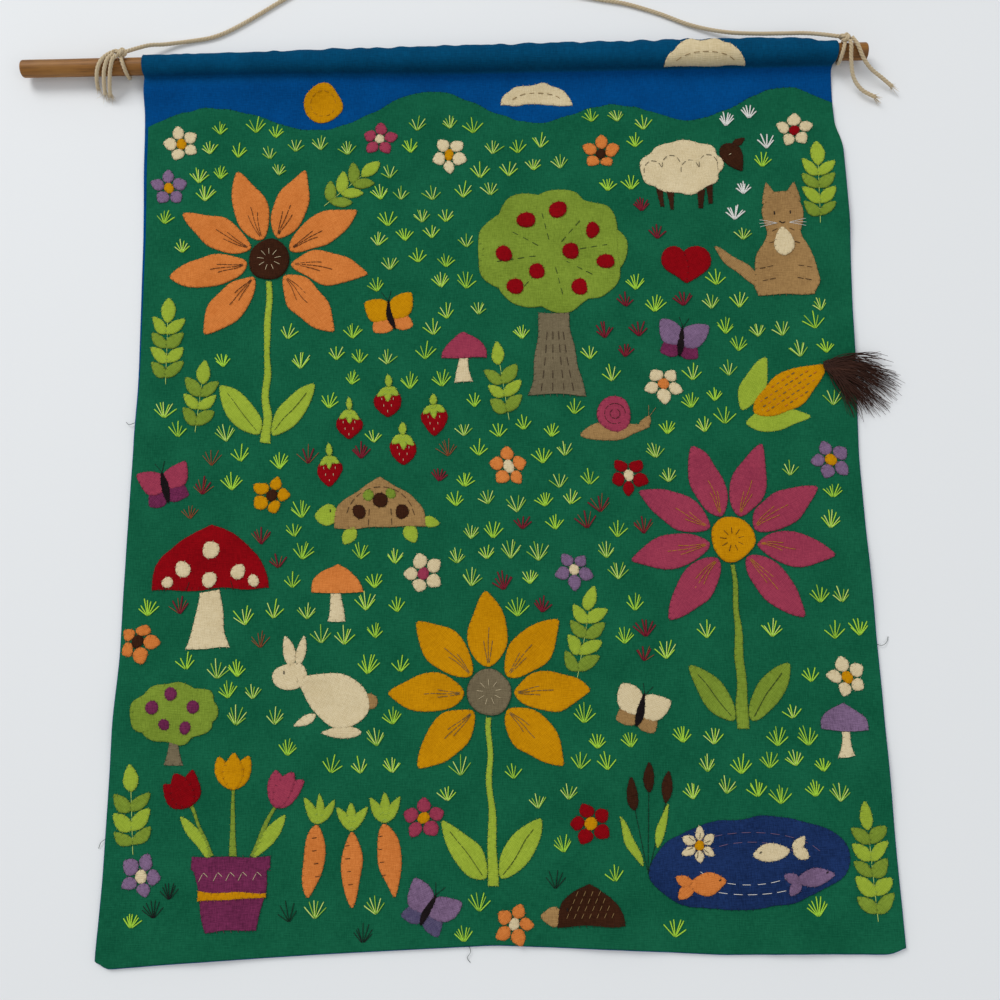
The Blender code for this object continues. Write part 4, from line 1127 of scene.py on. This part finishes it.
APPLES = [(30, 118), (42, 137), (60, 143), (78, 131), (84, 113), (66, 119), (48, 108), (70, 99), (36, 100)]
motif("apples", dots("red", 9.0, *APPLES), level=ON_PIECE)
cap_dots = dots("cream", 8.0, (-136, -48), (-122, -38), (-108, -49), (-122, -53))
motif("mushroom_dots", cap_dots + dots("cream", 5.5, (-144, -54), (-100, -54)), level=ON_PIECE)
motif("small_mushrooms", [
    upright("trunk", "cream", -58, -76, 15, 10), upright("dome", "orange", -58, -61, 15, 25),
    upright("trunk", "cream", 193, -147, 13, 9), upright("dome", "lilac", 193, -134, 13, 22),
    upright("trunk", "cream", 8, 48, 13, 9), upright("dome", "magenta", 8, 61, 14, 23),
])
motif("husks", [leaf("lime", 154, 23, 6, 33, 11), leaf("lime", 152, 30, 62, 31, 11)], thick=0.3)
motif("pot_leaves", [leaf("lime", x, -188.6, turn, 25, 6) for x, turn in ((-118, 128), (-98, 52))], thick=LOW)
TULIPS = [(-129, -164, "red"), (-108, -156, "mustard"), (-87, -164, "magenta")]
POT_MIDDLE, TULIP_FOOT, TULIP_LEAN = -108, -188, 0.45
for x, y, dye in TULIPS:
    foot_x = POT_MIDDLE + (x - POT_MIDDLE) * TULIP_LEAN
    turn = math.degrees(math.atan2(y - TULIP_FOOT, x - foot_x))
    stem = upright("trunk", "olive", foot_x, TULIP_FOOT, math.hypot(x - foot_x, y - TULIP_FOOT), 3.4, turn)
    motif(f"tulip_{dye}_stem", [stem], thick=LOW)
    motif(f"tulip_{dye}", [leaf(dye, x, y, turn + aside, 17, 8.5) for aside in (26, -26)])
    motif(f"tulip_{dye}_middle", [leaf(dye, x, y - 0.5, turn, 18, 9)], level=ON_FIELD + 0.3)
motif("pot_band", [upright("trunk", "mustard", -125, -206, 34, 5, 0)], level=ON_PIECE, thick=THIN)

STRAWBERRIES = [(-52, 34), (-32, 46), (-62, 10), (-24, 20), (-8, 36)]
for x, y in STRAWBERRIES:
    motif(f"strawberry_{x}", [leaf("red", x, y, 270, 16, 13)])
    calyx = [leaf("lime", x, y - 0.5, turn, 7, 3.6) for turn in (218, 270, 322, 92)]
    motif(f"strawberry_{x}_calyx", calyx, level=ON_PIECE - 0.1, thick=THIN)
CARROTS = [(-66, -174), (-50, -178), (-34, -174)]
motif("carrots", [leaf("orange", x, y, 270 + (x + 50) * 0.5, 34, 10) for x, y in CARROTS])
motif("carrot_tops", [leaf("lime", x, y + 0.5, turn, 14, 4.6) for x, y in CARROTS for turn in (58, 90, 122)])

motif("heart", [upright("drop", "red", 127, 100, 22, 14, 65)])
motif("heart_half", [upright("drop", "red", 127, 100, 22, 14, 115)], level=ON_FIELD + 0.2)
motif("bush_trunk", [upright("trunk", "taupe", -138, -144, 12, 9)], thick=LOW)
motif("bush", [upright("scallop", "olive", -138, -119, 44, 30, 0)])
BERRIES = [(-149, -116), (-140, -110), (-129, -116), (-143, -125), (-132, -126)]
motif("bush_berries", dots("plum", 6.0, *BERRIES), level=ON_PIECE, thick=THIN)

BUTTERFLIES = [
    (-30, 84, 100, "mustard", "orange"), (122, 66, 80, "lilac", "plum"), (92, -124, 70, "cream", "tan"),
    (-146, -6, 105, "magenta", "plum"), (-14, -216, 62, "lilac", "slate"),
]
for x, y, turn, upper, lower in BUTTERFLIES:
    motif(f"butterfly_{x}", [leaf(upper, x, y, turn + side * 48, 17, 12) for side in (-1, 1)])
    motif(f"butterfly_{x}", [leaf(lower, x, y, turn + side * 122, 12, 9.5) for side in (-1, 1)], thick=0.3)
    body = leaf("black", *away(x, y, -7, turn), turn, 17, 3.4)
    motif(f"butterfly_{x}_body", [body], level=ON_PIECE - 0.2, thick=THIN)

BLOSSOMS = [
    (-144, 186, "cream", "mustard"), (-36, 186, "magenta", "cream"), (2, 176, "cream", "mustard"),
    (84, 176, "orange", "brown"), (190, 186, "cream", "red"), (112, 44, "cream", "orange"),
    (196, 2, "lilac", "mustard"), (-150, 160, "lilac", "mustard"), (-14, -52, "cream", "magenta"),
    (62, -52, "lilac", "cream"), (-92, -10, "mustard", "brown"), (-157, -84, "orange", "brown"),
    (-15, -172, "magenta", "mustard"), (66, -176, "red", "mustard"), (-152, -196, "lilac", "cream"),
    (196, -108, "cream", "mustard"), (28, -222, "orange", "cream"), (30, 2, "orange", "cream"),
    (92, -4, "red", "cream"),
]
rings = [petals_round(dye, x, y, 5, 2.6, 7.6, 6.4, 90 + 17 * (x % 5)) for x, y, dye, _ in BLOSSOMS]
motif("blossoms", sum(rings, []))
motif("blossom_hearts", [dots(dye, 5.6, (x, y))[0] for x, y, _, dye in BLOSSOMS], level=ON_FIELD + 0.2)

SPRIGS = [
    (-148, 50, 90, 34), (-156, -186, 94, 30), (62, -106, 78, 34), (-66, 148, 40, 26), (31, 27, 98, 30),
    (200, 132, 88, 34), (-132, 24, 84, 26), (202, -224, 92, 42),
]
for x, y, turn, long in SPRIGS:
    leaves = [
        leaf("lime" if number % 2 else "olive", *away(x, y, run, turn), turn + side * 46, 12, 6)
        for number, run in enumerate(np.arange(4.0, long - 3, 8.0)) for side in (-1, 1)
    ]
    motif(f"sprig_{x}_{y}", leaves + [leaf("lime", *away(x, y, long, turn), turn, 13, 6.5)])


# Embroidered lines.
# Running stitch and backstitch in single lines: veins, stalks, ripples, faces, and the field's whipped edge.
# A running stitch's points: the share of its length, and the lift.
RUNNING_STITCH = np.array([(0.0, -0.12), (0.15, 0.14), (0.85, 0.14), (1.0, -0.12)])
LAST_STITCH = 0.6  # the shortest last stitch, as a share of a whole one
LINE_STEP = 0.4


def running(colour, points, lift=FIELD_TOP, stitch=3.2, gap=1.6, radius=0.17):
    """Stitches along a smooth line, each up out of the cloth and down again; a small gap is a backstitch."""
    route = smooth_route(points, LINE_STEP)
    long = distances(route)[-1]
    starts = np.arange(0, max(long - LAST_STITCH * stitch, 0.1), stitch + gap)[:, None]
    at = starts + (np.minimum(starts + stitch, long) - starts) * RUNNING_STITCH[:, 0]
    sew(colour, at_distances(route, at), lift + RUNNING_STITCH[:, 1], radius)


def arc(x, y, wide, tall, start, end, count=9):
    """Points on part of an oval, between two angles in degrees."""
    angle = np.radians(np.linspace(start, end, count))
    return np.stack([x + wide * np.cos(angle), y + tall * np.sin(angle)], -1)


def ray(x, y, turn, start, end):
    """The ends of a straight line between two distances from a place, in a direction in degrees."""
    return [away(x, y, start, turn), away(x, y, end, turn)]


def vein(piece, colour, start=0.08, end=0.62):
    """A line up the middle of a petal or a leaf."""
    run = np.linspace(start, end, 5) * piece.length
    running(colour, np.stack(in_place(piece, run, 0 * run), -1), PIECE_TOP, 2.6, 0.3)


# The daisies' petals have three veins each, their hearts nine spokes, and their leaves one vein.
for flower in FLOWERS:
    for part in petals_of(flower):
        for side, share in ((-9, 0.62), (0, 0.85), (9, 0.62)):
            vein(part._replace(turn=part.turn + side, length=part.length * share), flower.heart)
    spokes = "cream" if flower.heart != "mustard" else "brown"
    for turn in range(12, 372, 40):
        running(spokes, ray(flower.x, flower.y, turn, 3.0, 7.6), ON_FIELD + 0.95, 3.4, 2.0)
    for part in leaves_of(flower):
        vein(part, "deep_green", 0.06, 0.85)

# The sun, the clouds, the tree, the mushroom's gills, the pond's ripples, the tortoise, the sheep's curls.
SKY_TOP = ON_GROUND + PIECE_THICK
running("mustard", arc(-67, 208, 7.0, 7.0, 0, 350), SKY_TOP, 2.4, 1.4)
for x, y, wide in ((142, 229.3, 17), (50, 206.5, 14)):
    running("tan", arc(x, y, wide, 5.5, 20, 160), SKY_TOP, 3.0, 2.0)
for x in (48, 54, 60, 65):
    running("brown", [(x, 42), (x + (56 - x) * 0.3, 58), (x + (56 - x) * 0.55, 78)], PIECE_TOP, 4.5, 2.5)
for turn in range(10, 370, 45):
    branch = [arc(56, 118, wide, tall, turn, turn, 1)[0] for wide, tall in ((9, 8), (30, 25))]
    running("deep_green", branch, PIECE_TOP, 3.6, 2.4)
for x in (-146, -134, -122, -110, -98):
    running("brown", [(x, -58.5), (-122 + (x + 122) * 0.8, -51.5)], PIECE_TOP, 5.0, 2.0)
for reach in (0.55, 0.8):
    for colour, start, end in (("white", 200, 340), ("lilac", 20, 150)):
        running(colour, arc(142, -196, 46 * reach, 18 * reach, start, end), PIECE_TOP, 4.5, 2.5)
running("brown", arc(-36, -26, 18, 19, 12, 168), PIECE_TOP, 3.4, 1.6)
for x in (-42, -30):
    running("brown", [(x, -27), (x + (x + 36) * -0.1, -16)], PIECE_TOP, 3.4, 1.8)
for row in range(4):
    running("taupe", arc(112 + 10 * row, 164 + 3 * (row % 2), 5, 6, 20, 200), PIECE_TOP, 3.0, 1.4)

# The cat's stripes, eyes and whiskers, all to both sides of its middle.
CAT_MIDDLE = 180
for y, half in ((100, 13), (107, 14), (121, 8.5), (128, 6)):
    for side in (-1, 1):
        stripe = [(CAT_MIDDLE + side * half, y), (CAT_MIDDLE + side * half * 0.45, y + 1.5)]
        running("brown", stripe, PIECE_TOP, 3.2, 1.0)
for side in (-1, 1):
    eye_x = CAT_MIDDLE + side * 4.2
    running("black", [(eye_x, 137.5), (eye_x, 139.5)], PIECE_TOP, 1.6, 0.4, 0.35)
    for rise in (-0.6, 0.6, 1.8):
        whisker = [(CAT_MIDDLE + side * 3, 132.5), (CAT_MIDDLE + side * 13, 131.5 + 1.8 * rise)]
        running("white", whisker, PIECE_TOP, 9.5, 1.0, 0.12)

# The cat's mouth, the eyes of the sheep, tortoise, rabbit and hedgehog, and the snail's shell and feelers.
SINGLE_LINES = [
    ("black", [(178.2, 133.4), (180, 132.4), (181.8, 133.4)], PIECE_TOP, 1.6, 0.2, 0.25),
    ("cream", [(153.6, 172.4), (154.6, 173)], PIECE_TOP + 0.2, 1.2, 0.4, 0.24),
    ("black", [(-61.5, -19.5), (-61.5, -18.3)], ON_FIELD + LOW, 1.2, 0.4, 0.3),
    ("black", [(-84, -101), (-84, -99.4)], ON_FIELD + LOW, 1.4, 0.4, 0.3),
    ("black", [(53.5, -216), (53.5, -214.6)], PIECE_TOP, 1.4, 0.4, 0.3),
    ("brown", arc(86, 29, 5.5, 5.5, 0, 300), PIECE_TOP + 0.2, 2.6, 0.4),
    ("brown", arc(86, 29, 2.6, 2.6, 120, 420), PIECE_TOP + 0.2, 2.0, 0.4),
    ("tan", ray(103.5, 27, 52, 0, 7), FIELD_TOP, 3.0, 0.4),
    ("tan", ray(103.5, 27, 88, 0, 7), FIELD_TOP, 3.0, 0.4),
]
for line in SINGLE_LINES:
    running(*line)

# The hedgehog's spines, the cob's kernels, the strawberries' seeds and the carrots' rings.
for row, y in enumerate(np.arange(-219.5, -206, 3.4)):
    for x in np.arange(-11 + row * 1.6, 12 - row * 1.6, 3.6):
        running("tan", [(64 + x, y), (64 + x + 1.1, y + 2.2)], PIECE_TOP, 2.6, 1.0)
COB_X, COB_Y, COB_TURN, COB_LENGTH = 158, 28, 32, 46
for aside in np.arange(-6, 7, 3.0):
    for step in np.arange(6.0, 40.0, 3.2):
        if abs(aside) < 9 * math.sin(math.pi * (step / COB_LENGTH) ** 0.85) ** 0.8 - 2:
            kernel = away(*away(COB_X, COB_Y, step, COB_TURN), aside, COB_TURN + 90)
            colour = "orange" if int(step + aside) % 2 else "taupe"
            running(colour, ray(*kernel, COB_TURN, 0, 1.7), PIECE_TOP, 1.9, 1.0, 0.24)
for x, y in STRAWBERRIES:
    for dx, dy in ((-3, -6), (0, -5), (3, -6), (-2, -9.5), (2, -9.5), (0, -12.5)):
        running("cream", ray(x + dx, y + dy, 270, 0, 1.1), PIECE_TOP, 1.2, 1.0, 0.2)
for x, y in CARROTS:
    for down, wide in ((6, 3.2), (12, 3.0), (18, 2.2), (24, 1.5)):
        running("brown", [(x - wide, y - down), (x - wide + 2.4, y - down + 0.3)], PIECE_TOP, 2.2, 1.0)

# Feelers, the fishes' eyes, stalks, the tulips' pot and the lily's heart.
for x, y, turn, _, _ in BUTTERFLIES:
    for side in (-26, 26):
        running("black", ray(*away(x, y, 9.5, turn), turn + side, 0, 6), FIELD_TOP, 2.8, 0.3, 0.14)
for x, y, turn, dye in FISH:
    eye_x, eye_y = away(x, y, 15, turn)
    running("black", [(eye_x, eye_y + 0.8), (eye_x + 0.9, eye_y + 1.4)], ON_PIECE + 0.6, 1.1, 1.0, 0.28)
for x, y in BULRUSHES:
    running("deep_green", [(x, y), (93, -200)], FIELD_TOP, 4.4, 0.4)
for x, y, turn, long in SPRIGS:
    running("pale_lime", ray(x, y, turn, 0, long), FIELD_TOP, 4.0, 0.4)
for x in (-121, -114, -108, -102, -95):
    running("cream", [(x - 2.6, -199), (x, -195), (x + 2.6, -199)], PIECE_TOP, 3.6, 0.4)
for turn in range(20, 380, 60):
    running("taupe", ray(*LILY, turn, 3, 6), ON_PIECE + 0.5, 3.0, 1.0)

# The field cloth's top edge is whipped to the sky. The sleeve's own seam is hidden in the crease under it.
across = np.linspace(LEFT_EDGE[-2][1] + 6, RIGHT_EDGE[-4][1] - 3, 400)
whip(np.stack([across, hill_line(across)], -1)[::-1], ON_GROUND, FIELD_TOP - ON_GROUND, "deep_green")


# The tufts of grass.
# Fans of five to seven straight stitches all over the free field, a thumb's width apart. Most are of two lime
# threads; some are white, dark red, rust or green-black where the maker changed thread.
TUFT_PITCH, ROW_SHARE = 15.2, 0.87  # across, and up as a share of it
TUFT_STRAY = 3.2
TUFT_CLEARANCE = 6.4
TUFT_MIDDLE = (0, 3)  # a fan's middle from its foot
SIDE_MARGIN, BOTTOM_MARGIN_UP, HILL_MARGIN = 7, -230, 9
NEAR_REACH = 12
FAN_STITCHES = (5, 8)  # from the first up to and without the second
FAN_LEAN, FAN_HALF, FAN_STRAY = 9, 45, 6  # in degrees, of the whole fan, of its half and of each stitch
FAN_REACH, FAN_SHORTER, FAN_UNEVEN = (6.8, 9.4), 0.25, (0.85, 1.12)  # the outer stitches are shorter
FAN_OPEN = (0.3, 1.0)  # how far from the fan's foot its stitches start
TUFT_STITCH = np.array([(0.0, -0.15), (0.12, 0.2), (0.85, 0.22), (1.0, -0.15)])  # as a running stitch's
TUFT_THREAD = {  # radius of each thread
    "bright_lime": 0.36, "pale_lime": 0.32, "mid_lime": 0.32, "white": 0.44, "dark_red": 0.46, "rust": 0.18,
    "deep_green": 0.22, "black": 0.18,
}
LIME_PAIRS = [
    ("bright_lime", "pale_lime"), ("bright_lime", "bright_lime"), ("bright_lime", "mid_lime"),
    ("mid_lime", "pale_lime"),
]
Zone = namedtuple("Zone", "x y wide tall share colours")
ZONES = [
    Zone(185, 155, 45, 55, 0.75, ("white", "white")),
    Zone(-75, -40, 75, 55, 0.5, ("dark_red", "rust")),
    Zone(95, 90, 30, 60, 0.4, ("dark_red", "dark_red")),
    Zone(-40, -215, 110, 32, 0.55, ("deep_green", "black")),
    Zone(40, -60, 60, 40, 0.35, ("rust", "dark_red")),
]


def inside_of(line, places):
    """Whether a ray from each place to the right crosses a closed line an odd number of times."""
    start, end = line, np.roll(line, -1, 0)
    above = (start[:, 1] > places[:, None, 1]) != (end[:, 1] > places[:, None, 1])
    rise = np.where(end[:, 1] == start[:, 1], 1e-9, end[:, 1] - start[:, 1])
    crossing = start[:, 0] + (places[:, None, 1] - start[:, 1]) / rise * (end[:, 0] - start[:, 0])
    return (above & (places[:, None, 0] < crossing)).sum(1) % 2 == 1


random = np.random.default_rng(12)
across, up = np.meshgrid(np.arange(-166, 214, TUFT_PITCH), np.arange(-232, 206, ROW_SHARE * TUFT_PITCH))
across[1::2] += TUFT_PITCH / 2
places = np.stack([across.ravel(), up.ravel()], -1)
places = places + random.uniform(-TUFT_STRAY, TUFT_STRAY, places.shape)
free = places[:, 0] > along(LEFT_EDGE, places[:, 1]) + SIDE_MARGIN
free &= places[:, 0] < along(RIGHT_EDGE, places[:, 1]) - SIDE_MARGIN
free &= (places[:, 1] > BOTTOM_MARGIN_UP) & (places[:, 1] < hill_line(places[:, 0]) - HILL_MARGIN)
for line in taken:
    near = np.abs(places - line.mean(0)).max(1) < np.ptp(line, axis=0).max() + NEAR_REACH
    middles = places[near] + TUFT_MIDDLE
    near[near] = (distance_to(line, middles) < TUFT_CLEARANCE) | inside_of(line, middles)
    free &= ~near
for x, y in places[free]:
    count = random.integers(*FAN_STITCHES)
    lean = random.uniform(-FAN_LEAN, FAN_LEAN)
    turn = 90 + lean + np.linspace(-FAN_HALF, FAN_HALF, count) + random.uniform(-FAN_STRAY, FAN_STRAY, count)
    shorter = 1 - FAN_SHORTER * np.abs(np.linspace(-1, 1, count))
    reach = random.uniform(*FAN_REACH) * shorter * random.uniform(*FAN_UNEVEN, count)
    heading = np.stack([np.cos(np.radians(turn)), np.sin(np.radians(turn))], -1)
    base = np.array([x, y]) + heading * random.uniform(*FAN_OPEN, (count, 1))
    fan = base[:, None] + heading[:, None] * (reach[:, None] * TUFT_STITCH[:, 0])[..., None]
    zone = [zone for zone in ZONES if abs(x - zone.x) < zone.wide and abs(y - zone.y) < zone.tall]
    if zone and random.random() < zone[0].share:
        pair = zone[0].colours[random.integers(2)], zone[0].colours[random.integers(2)]
    else:
        pair = LIME_PAIRS[random.integers(len(LIME_PAIRS))]
    for colour, stitches in zip(pair, (fan[::2], fan[1::2])):
        sew(colour, stitches, FIELD_TOP + TUFT_STITCH[:, 1], TUFT_THREAD[colour])


# The corn silk.
# A lock of loose, fluffy dark yarn, sewn down at the cob's tip with its ends left free. It fans out past the
# cloth's edge and bends down over it, with a few stray strands.
SILK_ROOT = (196.5, 52.0, 4.6)
SILK_ROOT_STRAY = (0.7, 0.9)
SILK_PALM = 7.0
SILK_DROOP, SILK_DROOP_RUN = 2.4, 8.0
SILK_FIRST_TURN, SILK_TURN_STEP = 36.0, -17.0
SilkLock = namedtuple("SilkLock", "length bend")
SILK = [
    SilkLock(22, -40), SilkLock(28, -34), SilkLock(31, -28), SilkLock(29, -22), SilkLock(26, -14),
    SilkLock(21, -8),
]
SILK_STRANDS, SILK_POINTS = 230, 15
SILK_GATHER = 0.56  # how far each strand is drawn towards its lock's middle
SILK_UNEVEN, SILK_BEND_STRAY = (0.7, 1.2), 9
SILK_WAVE, SILK_WAVES = (4, 13), (1.0, 2.4)
SILK_SUNK, SILK_LOFT, SILK_LOWEST = 1.0, (0.0, 2.2), 0.5
STRAND_RADIUS, STRAND_ROOT, STRAND_THINNED = 0.23, 1.1, 0.75

random = np.random.default_rng(21)
each = (SILK_STRANDS, 1)
lock = random.uniform(0, len(SILK) - 1, each)
lock = lock + SILK_GATHER * (np.round(lock) - lock)
lengths, bends = (np.interp(lock, np.arange(len(SILK)), column) for column in zip(*SILK))
length = lengths * random.uniform(*SILK_UNEVEN, each)
bend = bends + random.normal(0, SILK_BEND_STRAY, each)
share = np.linspace(0, 1, SILK_POINTS)
high = random.uniform(*SILK_WAVE, each)
wave = high * np.sin(2 * np.pi * (share * random.uniform(*SILK_WAVES, each) + random.random(each)))
heading = np.radians(SILK_FIRST_TURN + SILK_TURN_STEP * (lock + 0.5) + bend * share + wave)
step = (SILK_PALM + length) / (SILK_POINTS - 1)
root_x, root_y = (SILK_ROOT[way] + random.normal(0, SILK_ROOT_STRAY[way], each) for way in (0, 1))
x, y = (
    root + np.cumsum(part * step, 1) - part[:, :1] * step
    for root, part in ((root_x, np.cos(heading)), (root_y, np.sin(heading)))
)
past_edge = np.clip((x - along(RIGHT_EDGE, y)) / SILK_DROOP_RUN, 0, 1)
height = SILK_ROOT[2] - SILK_SUNK + lift_off_table(x, y) - SILK_DROOP * past_edge
height = height + random.uniform(*SILK_LOFT, each) * np.sin(np.pi * np.clip(share * 0.9 + 0.1, 0, 1))
strands = np.stack([x, y, np.maximum(height, SILK_LOWEST)], -1)

# Acrylic or wool yarn, unplied: near black with a warm brown where the light comes through.
dark_yarn, tree, surface = start_material("fluffy_dark_brown_yarn", Roughness=0.7, Specular_IOR_Level=0.2)
where = node(tree, "TexCoord", {}, "Object")
streaks_place = node(tree, "Mapping", {"Vector": where, "Scale": (60.0, 900.0, 900.0)})
streaks = node(tree, "TexNoise", {"Vector": streaks_place, "Scale": 1.0, "Detail": 2.0}, "Fac")
browns = node(tree, "Mix", {0: streaks, 6: linear("#180A07"), 7: linear("#4A2A1C")}, 2, data_type="RGBA")
tree.links.new(browns, surface.inputs["Base Color"])

strand_radius = STRAND_RADIUS * (STRAND_ROOT - STRAND_THINNED * share**2)
silk = add_piece("yarn_lock", dark_yarn, *tubes(strands, strand_radius))
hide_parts("corn_silk")
running("brown", [(195.5, 48.5), (198, 55.5)], ON_FIELD + 2.0, 3.2, 0.6, 0.3)


# The sewing thread.
# Six-strand and sewing cotton, matt with a soft shine on its twist. A few cut ends of it stand out from under
# the hems.
def thread(name, code):
    """Cotton thread of one colour, with painted shade in slanted bands along the grooves of its twist."""
    made, tree, surface = start_material(name, Roughness=0.7, Specular_IOR_Level=0.2)
    twist = {"Vector": node(tree, "TexCoord", {}, "UV"), "Scale": 500.0}
    slanted = node(tree, "TexWave", twist, "Fac", bands_direction="DIAGONAL")
    # Painted shade: the thread's own colour at six tenths of its brightness, laid in slanted bands where the
    # twist's grooves fall in shade.
    dark = tuple(0.6 * part for part in linear(code)[:3]) + (1.0,)
    tones = node(tree, "Mix", {0: slanted, 6: dark, 7: linear(code)}, 2, data_type="RGBA")
    tree.links.new(tones, surface.inputs["Base Color"])
    return made


THREADS = {name: dye.thread for name, dye in DYES.items()}
THREADS.update(
    bright_lime="#B2E542", pale_lime="#D2EC7C", white="#EFEDE6", rust="#A24E2C", dark_red="#7E1128",
    deep_green="#12301F", mid_lime="#93C840",
)
threads = {name: thread(f"{name}_sewing_thread", code) for name, code in THREADS.items()}
for (colour, radius), lots in sewing.items():
    same_length = {}
    for paths in lots:
        same_length.setdefault(paths.shape[1], []).append(paths)
    parts = [tubes(np.concatenate(same), radius) for same in same_length.values()]
    on_field.append(add_piece(f"{colour}_stitches_{radius}", threads[colour], *join(parts)))

LOOSE_THREADS = [
    [(-162.5, 31.0, 0.6), (-165.0, 29.5, 1.4), (-167.0, 29.2, 1.3), (-168.6, 30.6, 0.5)],
    [(6.0, -231.0, 0.6), (6.8, -234.0, 1.2), (5.2, -236.8, 0.8), (6.6, -239.0, 0.4)],
    [(212.0, -92.0, 0.6), (215.0, -93.0, 1.3), (217.6, -91.4, 0.8), (218.8, -88.6, 0.4)],
    [(-169.0, -178.0, 0.6), (-172.0, -180.0, 1.2), (-173.4, -183.0, 0.5)],
]
LOOSE_RADIUS = 0.14
hem_ends = [tubes(smooth_route(points, LINE_STEP)[None], LOOSE_RADIUS) for points in LOOSE_THREADS]
on_field.append(add_piece("loose_hem_threads", threads["deep_green"], *join(hem_ends)))
